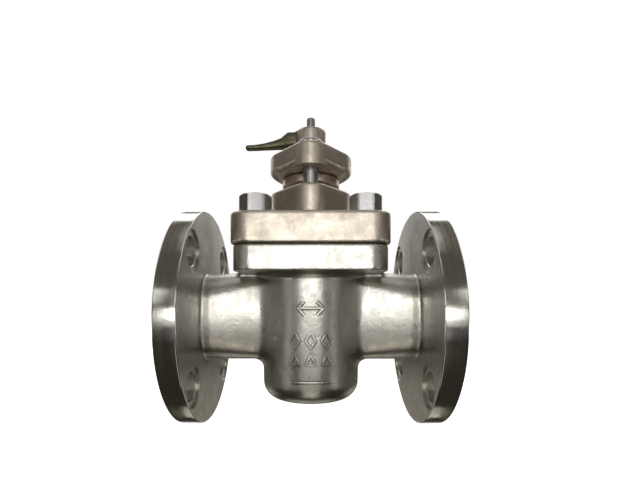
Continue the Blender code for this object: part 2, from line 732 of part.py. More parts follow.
def make_bonnet_bolts(material, parent):
    places = corner_places(BONNET_BOLT_OFFSET)
    for number, (place, turn) in enumerate(zip(places, BONNET_BOLT_TURNS), start=1):
        hex_bolt(f"bonnet_bolt_{number}", place, BONNET_PLATE_TOP_Z + GAP, BONNET_BOLT, material,
                 parent, turn)


def make_stop_pins(material, parent):
    for word, angle in (("open", OPEN_PIN_ANGLE), ("closed", CLOSED_PIN_ANGLE)):
        profile = [(PIN_RADIUS, PIN_LOW_Z), (PIN_RADIUS, PIN_TOP_Z - 0.5), (PIN_RADIUS - 0.5, PIN_TOP_Z)]
        turned(f"stop_pin_{word}", profile, material, parent, SMALL_STEPS, centre=pin_place(angle))


def build():
    clear_scene()
    cast = metal("cast_stainless", (0.46, 0.43, 0.37), 0.38)
    machined = metal("machined_stainless", (0.58, 0.56, 0.52), 0.22)
    bolt_steel = metal("bolt_steel", (0.62, 0.62, 0.62), 0.25)
    lever_steel = metal("lever_casting", (0.30, 0.29, 0.23), 0.45)
    ptfe = metal("ptfe", (0.85, 0.85, 0.82), 0.5, 0.0)
    graphite = metal("graphite", (0.06, 0.06, 0.06), 0.6, 0.0)
    fixed = empty("valve_frame")
    sliding = empty("gland_slide")
    turning = empty("stem_axis")
    make_valve_body(cast, fixed)
    make_sleeve(ptfe, fixed)
    make_internals(machined, ptfe, graphite, fixed)
    make_bonnet(cast, fixed)
    make_bonnet_bolts(bolt_steel, fixed)
    make_gland_bush(machined, sliding)
    make_gland_flange(cast, sliding)
    make_gland_fasteners(bolt_steel, machined, sliding)
    make_stop_pins(bolt_steel, sliding)
    make_plug(machined, turning)
    make_lever(lever_steel, turning)
    make_lever_fasteners(bolt_steel, machined, turning)


build()
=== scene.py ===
"""Looks of the two-inch plug valve: smooth castings, turned faces, real fasteners and their metals.

Sizes are in millimetres and heights are measured from the pipe axis, as on a valve's drawing.
The frame gives the main sizes; the constants below give the fillets and the small details.
"""
import json
import math

import bmesh
import bpy
import numpy as np
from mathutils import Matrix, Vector


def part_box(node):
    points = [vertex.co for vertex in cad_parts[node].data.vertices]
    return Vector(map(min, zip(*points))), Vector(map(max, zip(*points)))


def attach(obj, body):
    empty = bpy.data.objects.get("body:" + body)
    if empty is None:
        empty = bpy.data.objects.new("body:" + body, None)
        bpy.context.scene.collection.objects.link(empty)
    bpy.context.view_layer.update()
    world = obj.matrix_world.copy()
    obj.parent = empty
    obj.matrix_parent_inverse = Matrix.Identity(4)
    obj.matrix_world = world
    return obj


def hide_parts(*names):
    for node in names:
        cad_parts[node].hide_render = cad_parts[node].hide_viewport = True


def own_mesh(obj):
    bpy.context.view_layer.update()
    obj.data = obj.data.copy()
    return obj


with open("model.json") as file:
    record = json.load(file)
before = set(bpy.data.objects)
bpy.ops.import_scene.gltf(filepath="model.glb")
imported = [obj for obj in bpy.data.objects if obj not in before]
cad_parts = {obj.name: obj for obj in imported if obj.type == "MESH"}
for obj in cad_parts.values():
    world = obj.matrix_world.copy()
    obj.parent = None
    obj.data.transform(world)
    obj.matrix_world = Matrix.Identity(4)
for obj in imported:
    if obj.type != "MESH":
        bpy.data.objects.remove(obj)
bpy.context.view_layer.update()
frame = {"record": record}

MM = 0.001
PIPE_Z = frame["record"]["mounts"][0]["pos_m"][2] / MM

# Body casting
SPOT_FACE_DEPTH = 1.5
SPOT_FACE_RADIUS = 14.0
FLANGE_BACK_X = 73.8
FLANGE_EDGE = 0.8
RAISED_FACE_EDGE = 0.3
RAISED_FACE_RADIUS = 46.05
RAISED_FACE_HEIGHT = 1.6
BORE_RADIUS = 25.0
FLANGE_HOLE_RADIUS = 9.5
FLANGE_HOLE_OFFSET = 120.65 / 2 * math.sqrt(0.5)
HOLE_CHAMFER = 0.5
BARREL_RADIUS = 35.2
BARREL_TAPER = 0.02
BARREL_BASE_Z = -58.5
BARREL_BASE_FILLET = 12.0
NECK_HALF_WIDTH = (22.5, 27.0)
NECK_LOW_Z = (-30.0, -30.3)
NECK_HIGH_Z = (31.5, 30.3)
NECK_CORNER = (11.0, 18.0)
NECK_FILLET = 7.0
NECK_CROWN = 3.2
NECK_RAMP_INSET = (4.0, 6.0)
ROOT_OVERLAP = 4.0
FLANGE_FILLET = 1.6
FLANGE_ROOT_RADIUS = 46.0
PLATE_FILLET = 4.5
PLATE_CORNER = 13.0
PLATE_EDGE = 1.6
PLATE_UNDER_EDGE = 1.1
BODY_PLATE_Z = (30.3, 47.0)
BODY_PLATE_HALF = 49.6

# Inside of the body
PLUG_RADIUS = 25.5
PLUG_TAPER = 0.049
PLUG_EDGE = 1.5
PLUG_Z = (-40.0, 38.0)
SLEEVE_WALL = 2.5
SLEEVE_Z = (-43.0, 37.7)
CAVITY_LOW_Z = -46.0
SEAT_Z = 44.1
SEAT_RADIUS = 33.9
PORT = (12.0, 23.0, 8.0)
WINDOW_MARGIN = 0.6
PASSAGE_ROUND_X = 82.0
PASSAGE_WINDOW_X = 32.0
GAP = 0.3

# Bonnet, stuffing box and gland
BONNET_PLATE_TOP_Z = 67.1
BONNET_BOLT_OFFSET = 35.6
BONNET_HOLE_RADIUS = 6.5
TAPPED_HOLE_RADIUS = 6.2
TAPPED_HOLE_LOW_Z = 35.0
SPIGOT_RADIUS = 29.2
BOSS_EDGE = 1.5
BOSS_FILLET = 2.2
BOSS_SUNK = 6.0
LOZENGE_SIDE = 29.5
LOZENGE_NOSE = 12.4
EAR_Y = 27.2
STUFFING_RADIUS = 16.0
STUFFING_LOW_Z = 62.0
STEM_RADIUS = 10.0
STEM_BORE_RADIUS = 10.4
GLAND_EDGE = 1.3
GLAND_BEVEL = 4.55
GLAND_BEVEL_INSET = 6.0
GLAND_BEVEL_POWER = 1.7
GLAND_HOLE_RADIUS = 5.3
GLAND_TAPPED_LOW_Z = 70.5
COLLAR_LOW_Z = 93.4
BUSH_RADIUS = 15.7

# Fasteners: shank radius, width across flats (hexagon) or head radius (dome), thread pitch
BONNET_BOLT = (5.9, 18.7, 1.75)
GLAND_BOLT = (4.9, 8.0, 1.5)
GLAND_BOLT_RIM = 0.7
GLAND_BOLT_FLAT_SHARE = 0.55
SOCKET_FLATS = 6.0
SOCKET_DEPTH = 4.0
GLAND_BOLT_THREAD_TOP_Z = 86.0
BONNET_BOLT_TURNS = (10.0, 23.0, -5.0, 41.0)
THREAD_DEPTH_SHARE = 0.58
HEXAGON_FACE_SHARE = 0.95
HEXAGON_CORNER_SHARE = 0.982
HEXAGON_CORNER_EASE = 0.25
LEVER_NUT_FLATS = 10.0
PIN_EDGE = 0.7
STUD_PITCH = 1.0
STUD_EDGE = 0.5
STUD_THREAD_TOP_Z = 137.4

# Lever
HUB_RADIUS = 10.8
HUB_TOP_Z = 135.4
HUB_EDGE = 1.2
HUB_RECESS_RADIUS = 8.3
HUB_WEB_TOP_Z = 129.4
DRIVE_RADIUS = 7.0
DRIVE_HALF_FLAT = 5.0
STEM_SHOULDER_Z = 115.3
DRIVE_TOP_Z = 126.6
STUD_HOLE_RADIUS = 3.3
TAB_REACH = 16.5
TAB_HALF_WIDTH = 3.6
TAB_HIGH_Z = 119.8
ARM_FILLET = 1.2
ARM_CORNER_SHARE = 0.85
ARM_TIP_ROUND = 1.45
HUB_PAINT_MARGIN = 0.15

# Fineness of the meshes
FULL_TURN = 160
SMALL_TURN = 64
FASTENER_TURN = 96
PIN_TURN = 48
BODY_CELL = 1.05
BONNET_CELL = 0.95
LEVER_CELL = 0.45
SMOOTH_ANGLE = math.radians(30)

# How far a cutting tool runs past the face that it cuts
OVERSHOOT = 1.0

# Camera: place in millimetres from the stem and the pipe axis, turn, lens and shift
CAMERA_PLACE = (1.79, -292.75, 12.7)
CAMERA_TURN = 0.0061
SENSOR_WIDTH = 36.0
LENS = 22.37625
LENS_SHIFT = (0.0142, 0.092)

# Lights and floor, in metres
LIGHT_DISTANCE = 1.2
FLOOR_HALF = 6.0
FLOOR_DROP = 0.0005


# ---- Frame sizes ----

def node_box(node):
    """Lowest and highest corner of a CAD node in millimetres, heights from the pipe axis."""
    low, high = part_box(node)
    shift = Vector((0.0, 0.0, PIPE_Z))
    return low / MM - shift, high / MM - shift


def height_range(node):
    """Lowest and highest point of a CAD node."""
    low, high = node_box(node)
    return low.z, high.z


def centre_of(node):
    """Middle of a CAD node seen from above."""
    low, high = node_box(node)
    return (low.x + high.x) / 2, (low.y + high.y) / 2


def pin_radius(node):
    """Radius of a round CAD node that stands upright."""
    low, high = node_box(node)
    return (high.x - low.x) / 2


# ---- Meshes ----

def add_object(name, data):
    """A new object in the scene for a mesh, camera or light."""
    obj = bpy.data.objects.new(name, data)
    bpy.context.scene.collection.objects.link(obj)
    return obj


def new_object(name, vertices, faces):
    """A mesh object from millimetre points; heights are lifted to the row frame."""
    points = np.asarray(vertices, float) * MM
    points[:, 2] += PIPE_Z * MM
    mesh = bpy.data.meshes.new(name)
    mesh.from_pydata(points.tolist(), [], faces if isinstance(faces, list) else faces.tolist())
    mesh.update()
    return add_object(name, mesh)


def turn_outward(obj):
    bm = bmesh.new()
    bm.from_mesh(obj.data)
    bmesh.ops.recalc_face_normals(bm, faces=bm.faces)
    bm.to_mesh(obj.data)
    bm.free()


def lofted(name, loops, ring=False):
    """Skin a list of loops with as many points each; a ring joins its last loop to its first."""
    count = len(loops[0])
    vertices = [point for loop in loops for point in loop]
    rows = list(range(len(loops)))
    pairs = list(zip(rows, rows[1:]))
    faces = []
    if ring:
        pairs.append((rows[-1], rows[0]))
    else:
        faces.append(list(range(count)))
        faces.append(list(range(rows[-1] * count, rows[-1] * count + count)))
    for low, high in pairs:
        for i in range(count):
            j = (i + 1) % count
            faces.append([low * count + i, low * count + j, high * count + j, high * count + i])
    obj = new_object(name, vertices, faces)
    turn_outward(obj)
    return obj


def circle(radius, height, steps, axis="Z", centre=(0.0, 0.0), turn=0.0):
    """A circle of points round an axis; centre is in the plane across the axis, turn in degrees."""
    points = []
    for i in range(steps):
        angle = math.tau * i / steps + math.radians(turn)
        u = centre[0] + radius * math.cos(angle)
        v = centre[1] + radius * math.sin(angle)
        points.append((u, v, height) if axis == "Z" else (height, u, v))
    return points


def turned(name, profile, steps=FULL_TURN, axis="Z", centre=(0.0, 0.0), ring=False):
    """A body of revolution from (radius, height) pairs; a ring's profile is a closed loop."""
    loops = [circle(radius, height, steps, axis, centre) for radius, height in profile]
    return lofted(name, loops, ring)


def arc(radius, start, end, count):
    """Points of an arc about the origin, angles in degrees, both ends included."""
    points = []
    for i in range(count + 1):
        angle = math.radians(start + (end - start) * i / count)
        points.append((radius * math.cos(angle), radius * math.sin(angle)))
    return points


def rounded_rectangle(half_width, low, high, corner, count=10):
    """Outline with four round corners, as (u, v) points anticlockwise."""
    points = []
    centres = (
        (half_width - corner, high - corner),
        (corner - half_width, high - corner),
        (corner - half_width, low + corner),
        (half_width - corner, low + corner),
    )
    for quarter, (u, v) in enumerate(centres):
        for du, dv in arc(corner, 90 * quarter, 90 * quarter + 90, count):
            points.append((u + du, v + dv))
    return points


def chamfered_ring(inner, outer, low, high, edge):
    """Profile of a ring whose four edges are broken."""
    return [
        (inner, low + edge), (inner + edge, low), (outer - edge, low), (outer, low + edge),
        (outer, high - edge), (outer - edge, high), (inner + edge, high), (inner, high - edge),
    ]


def boolean(obj, operation, tools):
    """Apply MANIFOLD Booleans and remove their tools."""
    for tool in tools:
        modifier = obj.modifiers.new("boolean", "BOOLEAN")
        modifier.operation = operation
        modifier.solver = "MANIFOLD"
        modifier.object = tool
    bpy.context.view_layer.update()
    graph = bpy.context.evaluated_depsgraph_get()
    result = bpy.data.meshes.new_from_object(obj.evaluated_get(graph))
    obj.modifiers.clear()
    obj.data = result
    for tool in tools:
        bpy.data.objects.remove(tool, do_unlink=True)


def cut(obj, *tools):
    boolean(obj, "DIFFERENCE", tools)


def join(obj, *tools):
    boolean(obj, "UNION", tools)


def shade(obj, angle=SMOOTH_ANGLE):
    """Smooth faces, sharp edges past an angle, and normals that keep the flats flat."""
    obj.data.shade_smooth()
    obj.data.set_sharp_from_angle(angle=angle)
    modifier = obj.modifiers.new("weighted_normals", "WEIGHTED_NORMAL")
    modifier.keep_sharp = True
    modifier.weight = 60


def finish_piece(obj, body, slot, material, *nodes):
    """Give a piece its material and its body, and hide the CAD nodes that it stands for."""
    obj.data.materials.clear()
    obj.data.materials.append(material)
    obj.data.polygons.foreach_set("material_index", np.zeros(len(obj.data.polygons), np.int32))
    shade(obj)
    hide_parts(*nodes)
    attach(obj, body)
    return obj


# ---- Distance fields, for the castings ----

def round_join(a, b, radius):
    """Union of two fields with a round fillet."""
    u = np.maximum(radius - a, 0.0)
    v = np.maximum(radius - b, 0.0)
    return np.maximum(radius, np.minimum(a, b)) - np.hypot(u, v)


def round_meet(a, b, radius):
    """Intersection of two fields with a rounded edge."""
    u = np.maximum(radius + a, 0.0)
    v = np.maximum(radius + b, 0.0)
    return np.minimum(-radius, np.maximum(a, b)) + np.hypot(u, v)


def rectangle_field(u, v, half_u, half_v, corner):
    """Distance to a rectangle with round corners, centred on the origin."""
    du = np.abs(u) - half_u + corner
    dv = np.abs(v) - half_v + corner
    outside = np.hypot(np.maximum(du, 0.0), np.maximum(dv, 0.0))
    return outside + np.minimum(np.maximum(du, dv), 0.0) - corner


def lozenge_field(x, y, side, nose):
    """Distance to the two-eared lozenge: a centre circle and two ears joined by tangents."""
    across = np.abs(x)
    along = np.abs(y)
    lean = (side - nose) / EAR_Y
    rise = math.sqrt(1.0 - lean * lean)
    place = -lean * across + rise * along
    middle = np.hypot(across, along) - side
    ear = np.hypot(across, along - EAR_Y) - nose
    flank = rise * across + lean * along - side
    return np.where(place < 0.0, middle, np.where(place > rise * EAR_Y, ear, flank))


def slab_field(z, low, high):
    return np.abs(z - (low + high) / 2) - (high - low) / 2


def crossings(value):
    """Grid cells that the surface passes, and the mean of its crossings of their edges."""
    inside = value < 0.0
    corners = np.zeros([n - 1 for n in value.shape], int)
    for i in (0, 1):
        for j in (0, 1):
            for k in (0, 1):
                corners += inside[i:i + corners.shape[0], j:j + corners.shape[1], k:k + corners.shape[2]]
    cells = np.argwhere((corners > 0) & (corners < 8))
    total = np.zeros(cells.shape)
    hits = np.zeros(len(cells))
    for axis in range(3):
        step = np.eye(3, dtype=int)[axis]
        others = [np.eye(3, dtype=int)[other] for other in range(3) if other != axis]
        for i in (0, 1):
            for j in (0, 1):
                start = cells + i * others[0] + j * others[1]
                a = value[tuple(start.T)]
                b = value[tuple((start + step).T)]
                crossed = (a < 0.0) != (b < 0.0)
                share = np.where(crossed, a / np.where(crossed, a - b, 1.0), 0.0)
                total += np.where(crossed[:, None], start + share[:, None] * step, 0.0)
                hits += crossed
    return inside, cells, total / hits[:, None]


def field_faces(inside, cells):
    """One quad round each grid edge that the surface crosses."""
    number = np.full(inside.shape, -1)
    number[tuple(cells.T)] = np.arange(len(cells))
    faces = []
    for axis in range(3):
        low = np.take(inside, range(inside.shape[axis] - 1), axis)
        high = np.take(inside, range(1, inside.shape[axis]), axis)
        edges = np.argwhere(low != high)
        u = np.eye(3, dtype=int)[(axis + 1) % 3]
        v = np.eye(3, dtype=int)[(axis + 2) % 3]
        quads = np.stack([number[tuple((edges - shift).T)] for shift in (u + v, v, 0 * u, u)], 1)
        outward = low[tuple(edges.T)]
        faces.append(np.where(outward[:, None], quads, quads[:, ::-1]))
    return np.concatenate(faces)


def field_object(name, field, low, high, cell, margin=3.0):
    """Closed mesh of a field's zero level between two corners, settled onto it by Newton steps."""
    low = np.array(low, float) - margin
    high = np.array(high, float) + margin
    axes = [np.arange(start, end + cell, cell) for start, end in zip(low, high)]
    inside, cells, places = crossings(field(*np.meshgrid(*axes, indexing="ij")))
    points = low + places * cell
    probe = 0.02
    for _ in range(4):
        value = field(*points.T)
        slope = np.zeros(points.shape)
        for axis in range(3):
            shift = np.eye(3)[axis] * probe
            slope[:, axis] = (field(*(points + shift).T) - field(*(points - shift).T)) / (2 * probe)
        steep = np.maximum((slope ** 2).sum(1), 0.25)
        move = slope * (value / steep)[:, None]
        length = np.maximum(np.linalg.norm(move, axis=1), 1e-9)
        points -= move * np.minimum(1.0, 0.5 * cell / length)[:, None]
    return new_object(name, points, field_faces(inside, cells))


# ---- Body casting ----

def between(pair, share):
    """The value at that share of the way through a pair."""
    return pair[0] + (pair[1] - pair[0]) * share


def neck_field(x, y, z):
    """Tall rounded rectangle that widens and rounds off towards the flange."""
    ramp_start = BARREL_RADIUS + NECK_RAMP_INSET[0]
    ramp_end = FLANGE_BACK_X - NECK_RAMP_INSET[1]
    share = np.clip((np.abs(x) - ramp_start) / (ramp_end - ramp_start), 0.0, 1.0)
    low = between(NECK_LOW_Z, share)
    high = between(NECK_HIGH_Z, share)
    corner = between(NECK_CORNER, share)
    middle = (low + high) / 2
    tall = (high - low) / 2
    crown = NECK_CROWN * np.clip((z - middle) / tall, -1.0, 1.0) ** 2
    half = between(NECK_HALF_WIDTH, share) - crown
    around = rectangle_field(y, z - middle, half, tall, corner)
    return np.maximum(around, np.abs(x) - FLANGE_BACK_X - ROOT_OVERLAP)


def barrel_field(x, y, z):
    """Tapered barrel with a rounded base."""
    around = np.hypot(x, y) - (BARREL_RADIUS + BARREL_TAPER * z)
    barrel = round_meet(around, BARREL_BASE_Z - z, BARREL_BASE_FILLET)
    return np.maximum(barrel, z - BODY_PLATE_Z[1] + ROOT_OVERLAP)


def body_field(x, y, z):
    """Barrel, necks and top plate in one skin, with fillets."""
    body = round_join(barrel_field(x, y, z), neck_field(x, y, z), NECK_FILLET)
    outline = rectangle_field(x, y, BODY_PLATE_HALF, BODY_PLATE_HALF, PLATE_CORNER)
    plate = round_meet(outline, BODY_PLATE_Z[0] - z, PLATE_UNDER_EDGE)
    plate = round_meet(plate, z - BODY_PLATE_Z[1], PLATE_EDGE)
    body = round_join(body, plate, PLATE_FILLET)
    disc = slab_field(np.abs(x), FLANGE_BACK_X + GAP, FLANGE_BACK_X + ROOT_OVERLAP)
    root = np.maximum(disc, np.hypot(y, z) - FLANGE_ROOT_RADIUS)
    return round_join(body, root, FLANGE_FILLET)


def flange(name, side):
    """Turned flange with its raised face, and broken edges."""
    _, high = node_box("valve_body")
    face_x = high.x
    radius = high.y
    shoulder = face_x - RAISED_FACE_HEIGHT
    profile = [
        (RAISED_FACE_RADIUS - RAISED_FACE_EDGE, face_x),
        (RAISED_FACE_RADIUS, face_x - RAISED_FACE_EDGE),
        (RAISED_FACE_RADIUS, shoulder),
    ]
    for across, out in arc(FLANGE_EDGE, 90, 0, 4):
        profile.append((radius - FLANGE_EDGE + across, shoulder - FLANGE_EDGE + out))
    for across, out in arc(FLANGE_EDGE, 0, -90, 4):
        profile.append((radius - FLANGE_EDGE + across, FLANGE_BACK_X + FLANGE_EDGE + out))
    return turned(name, [(r, side * x) for r, x in profile], 2 * FULL_TURN, "X")


def passage_loops(margin, reach):
    """Through passage: round at the faces, a tall rounded window at the plug."""
    window = (PORT[0] + margin, PORT[1] + margin, PORT[2] + margin)
    round_end = (BORE_RADIUS, BORE_RADIUS, BORE_RADIUS - 0.01)
    steps = 12
    loops = []
    for side in (-1, 1):
        stations = [(reach, 1.0)]
        for i in range(steps, -1, -1):
            share = i / steps
            blend = share * share * (3 - 2 * share)
            stations.append((PASSAGE_WINDOW_X + (PASSAGE_ROUND_X - PASSAGE_WINDOW_X) * share, blend))
        if side > 0:
            stations.reverse()
        for x, share in stations:
            half, high, corner = (between(pair, share) for pair in zip(window, round_end))
            outline = rounded_rectangle(half, -high, high, corner, 14)
            loops.append([(side * x, y, z) for y, z in outline])
    return loops


def corner_places(offset):
    """The four corners of a square of that half side."""
    return [(x * offset, y * offset) for x in (-1, 1) for y in (-1, 1)]


def flange_hole(name, side, place):
    """Bolt hole with broken edges and the spot-face behind it."""
    face_x = node_box("valve_body")[1].x
    shoulder = face_x - RAISED_FACE_HEIGHT
    floor = FLANGE_BACK_X + SPOT_FACE_DEPTH
    profile = (
        (FLANGE_HOLE_RADIUS + HOLE_CHAMFER + OVERSHOOT, shoulder + OVERSHOOT),
        (FLANGE_HOLE_RADIUS, shoulder - HOLE_CHAMFER),
        (FLANGE_HOLE_RADIUS, floor + HOLE_CHAMFER),
        (FLANGE_HOLE_RADIUS + HOLE_CHAMFER, floor),
        (SPOT_FACE_RADIUS, floor),
        (SPOT_FACE_RADIUS, FLANGE_BACK_X - 7.0),
    )
    return turned(name, [(r, side * x) for r, x in profile], SMALL_TURN, "X", place)


def bore_radius(z):
    """Radius of the tapered bore that holds the sleeve."""
    return PLUG_RADIUS + PLUG_TAPER * z + SLEEVE_WALL + 2 * GAP


def tapped_hole(name, place, radius, low, high):
    """Blind tapped hole with a cone at its bottom and a countersink at its mouth."""
    profile = (
        (0.4, low),
        (radius, low + radius * 0.4),
        (radius, high - 0.7),
        (radius + 0.7 + OVERSHOOT, high + OVERSHOOT),
    )
    return turned(name, profile, SMALL_TURN, centre=place)


def paint_faces(obj, material, mask):
    """Give the faces in mask another material."""
    index = np.zeros(len(obj.data.polygons), np.int32)
    obj.data.polygons.foreach_get("material_index", index)
    obj.data.materials.append(material)
    index[mask] = len(obj.data.materials) - 1
    obj.data.polygons.foreach_set("material_index", index)


def face_places(obj):
    """Centres in millimetres from the pipe axis, and normals, of an object's faces."""
    count = len(obj.data.polygons)
    centres = np.zeros(count * 3)
    normals = np.zeros(count * 3)
    obj.data.polygons.foreach_get("center", centres)
    obj.data.polygons.foreach_get("normal", normals)
    centres = centres.reshape(-1, 3) / MM - (0.0, 0.0, PIPE_Z)
    return centres, normals.reshape(-1, 3)


def finish_machined_faces(body, rim, face, drilled):
    """Turned rims, faces and backs of the flanges; drilled and spot-faced holes."""
    corner = node_box("valve_body")[1]
    centres, normals = face_places(body)
    out = np.abs(centres[:, 0])
    around = np.hypot(centres[:, 1], centres[:, 2])
    flat = np.abs(normals[:, 0]) > 0.99
    on_flange = out > FLANGE_BACK_X - 0.05
    paint_faces(body, rim, on_flange & (around > corner.y - FLANGE_EDGE - 0.3))
    front = out > corner.x - RAISED_FACE_HEIGHT - 0.1
    back = (out < FLANGE_BACK_X + 0.1) & on_flange & (around > 30.0)
    paint_faces(body, face, flat & (front | back) & (around < corner.y - FLANGE_EDGE - 0.2))
    for y, z in corner_places(FLANGE_HOLE_OFFSET):
        near = np.hypot(centres[:, 1] - y, centres[:, 2] - z)
        wall = (near < FLANGE_HOLE_RADIUS + HOLE_CHAMFER) & on_flange
        floor = flat & (np.abs(out - FLANGE_BACK_X - SPOT_FACE_DEPTH) < 0.05)
        paint_faces(body, drilled, wall | floor & (near < SPOT_FACE_RADIUS))


def make_body(material, rim, face, drilled):
    """Body casting with its flanges, marks, cavity, passage and holes."""
    top = BODY_PLATE_Z[1]
    face_x = node_box("valve_body")[1].x
    reach = FLANGE_BACK_X + ROOT_OVERLAP
    grid_low = (-reach, -BODY_PLATE_HALF, BARREL_BASE_Z)
    body = field_object("body_casting", body_field, grid_low, (reach, BODY_PLATE_HALF, top), BODY_CELL)
    join(body, flange("inlet_flange", -1), flange("outlet_flange", 1))
    join(body, *relief_marks())
    cavity = (
        (bore_radius(CAVITY_LOW_Z), CAVITY_LOW_Z),
        (bore_radius(SEAT_Z), SEAT_Z),
        (SEAT_RADIUS, SEAT_Z),
        (SEAT_RADIUS, top - 0.5),
        (SEAT_RADIUS + 0.5 + OVERSHOOT, top + OVERSHOOT),
    )
    passage = passage_loops(WINDOW_MARGIN, face_x + OVERSHOOT)
    cut(body, turned("cavity", cavity), lofted("passage", passage))
    holes = []
    for number, place in enumerate(corner_places(FLANGE_HOLE_OFFSET)):
        for side in (-1, 1):
            holes.append(flange_hole(f"flange_hole_{number}_{side}", side, place))
    for number, place in enumerate(corner_places(BONNET_BOLT_OFFSET)):
        holes.append(tapped_hole(f"tapped_{number}", place, TAPPED_HOLE_RADIUS, TAPPED_HOLE_LOW_Z, top))
    cut(body, *holes)
    finish_piece(body, "valve", "cast_body", material, "valve_body")
    finish_machined_faces(body, rim, face, drilled)


# ---- Raised marks on the barrel: plain symbols, no letters ----

RELIEF_HEIGHT = 1.0
RELIEF_HALF_WIDTH = 1.1
RELIEF_ROWS = (6.5, -14.6, -28.4, -42.0)
RELIEF_SECTION = (
    (-1.35, -1.2), (-1.0, 0.35), (-0.55, 0.9), (0.0, 1.0), (0.55, 0.9), (1.0, 0.35), (1.35, -1.2),
)
ARROW_REACH = 8.6
ARROW_HEAD = 4.6
ARROW_SHAFT_REACH = 6.8
SYMBOL_PITCH = 10.4
DIAMOND_HALF = (3.3, 5.3)
TRIANGLE_HALF = (3.9, 4.4)
DASH_REACH = 13.0


def on_barrel(u, z, lift):
    """A point on the barrel's front, u millimetres round from its centre line."""
    radius = BARREL_RADIUS + BARREL_TAPER * z
    angle = u / radius
    return ((radius + lift) * math.sin(angle), -(radius + lift) * math.cos(angle), z)


def relief_bar(name, path, closed):
    """A raised bar with a rounded back that follows a path of (u, z) points on the barrel."""
    count = len(path)
    loops = []
    for i, (u, z) in enumerate(path):
        before = path[i - 1] if closed or i > 0 else path[i]
        after = path[(i + 1) % count] if closed or i < count - 1 else path[i]
        run = Vector((after[0] - before[0], after[1] - before[1])).normalized()
        side = Vector((-run.y, run.x))
        loop = []
        for across, up in RELIEF_SECTION:
            shift = side * (across * RELIEF_HALF_WIDTH)
            loop.append(on_barrel(u + shift.x, z + shift.y, up * RELIEF_HEIGHT))
        loops.append(loop)
    return lofted(name, loops, ring=closed)


def straight(start, end, count=8):
    """Evenly spaced points of a straight line, both ends included."""
    points = []
    for i in range(count + 1):
        points.append(tuple(between(pair, i / count) for pair in zip(start, end)))
    return points


def polygon(centre, half, sides, per_side):
    """Closed outline of an upright polygon of that half width and half height."""
    corners = []
    for i in range(sides + 1):
        angle = math.tau * i / sides + math.pi / 2
        u = centre[0] + half[0] * math.cos(angle)
        v = centre[1] + half[1] * math.sin(angle)
        corners.append((u, v))
    points = []
    for start, end in zip(corners, corners[1:]):
        points += straight(start, end, per_side)[:-1]
    return points


def relief_marks():
    """A two-way flow arrow, three diamonds, three triangles and one long dash."""
    arrow_z, diamond_z, triangle_z, dash_z = RELIEF_ROWS
    shaft = straight((-ARROW_SHAFT_REACH, arrow_z), (ARROW_SHAFT_REACH, arrow_z), 12)
    marks = [relief_bar("arrow_shaft", shaft, False)]
    for side in (-1, 1):
        tip = (side * ARROW_REACH, arrow_z)
        for way in (-1, 1):
            end = (side * (ARROW_REACH - ARROW_HEAD), arrow_z + way * ARROW_HEAD)
            marks.append(relief_bar(f"arrow_{side}_{way}", straight(tip, end), False))
    for i in (-1, 0, 1):
        diamond = polygon((i * SYMBOL_PITCH, diamond_z), DIAMOND_HALF, 4, 2)
        marks.append(relief_bar(f"diamond_{i}", diamond, True))
        triangle = polygon((i * SYMBOL_PITCH, triangle_z), TRIANGLE_HALF, 3, 2)
        marks.append(relief_bar(f"triangle_{i}", triangle, True))
    dash = straight((-DASH_REACH, dash_z), (DASH_REACH, dash_z), 20)
    marks.append(relief_bar("dash", dash, False))
    return marks


# ---- Bonnet and gland ----

def bonnet_field(x, y, z):
    """Square plate with the lozenge boss of the stuffing box on it."""
    high = node_box("bonnet")[1]
    plate_low = BODY_PLATE_Z[1] + GAP
    outline = rectangle_field(x, y, high.x, high.x, PLATE_CORNER)
    plate = round_meet(outline, slab_field(z, plate_low, BONNET_PLATE_TOP_Z), PLATE_EDGE)
    boss = round_meet(lozenge_field(x, y, LOZENGE_SIDE, LOZENGE_NOSE), z - high.z, BOSS_EDGE)
    boss = np.maximum(boss, plate_low + BOSS_SUNK - z)
    return round_join(plate, boss, BOSS_FILLET)


def make_bonnet(material):
    """Bonnet with its spigot, stuffing box, bolt holes and tapped holes."""
    low, high = node_box("bonnet")
    grid_low = (-high.x, -high.x, BODY_PLATE_Z[1])
    grid_high = (high.x, high.x, high.z)
    bonnet = field_object("bonnet_casting", bonnet_field, grid_low, grid_high, BONNET_CELL)
    spigot = [(SPIGOT_RADIUS - 0.5, low.z), (SPIGOT_RADIUS, low.z + 0.5), (SPIGOT_RADIUS, low.z + 5.0)]
    join(bonnet, turned("spigot", spigot))
    bore = (
        (STEM_BORE_RADIUS, low.z - OVERSHOOT),
        (STEM_BORE_RADIUS, STUFFING_LOW_Z),
        (STUFFING_RADIUS, STUFFING_LOW_Z),
        (STUFFING_RADIUS, high.z - 1.0),
        (STUFFING_RADIUS + 1.0 + OVERSHOOT, high.z + OVERSHOOT),
    )
    tools = [turned("stuffing_box", bore)]
    for number, place in enumerate(corner_places(BONNET_BOLT_OFFSET)):
        hole = [(BONNET_HOLE_RADIUS, z) for z in (low.z - 2.0, BONNET_PLATE_TOP_Z + OVERSHOOT)]
        tools.append(turned(f"bonnet_hole_{number}", hole, SMALL_TURN, centre=place))
    for side in (-1, 1):
        name = f"gland_tapped_{side}"
        place = (0.0, side * EAR_Y)
        tools.append(tapped_hole(name, place, GLAND_HOLE_RADIUS, GLAND_TAPPED_LOW_Z, high.z))
    cut(bonnet, *tools)
    finish_piece(bonnet, "valve", "cast_bonnet", material, "bonnet")


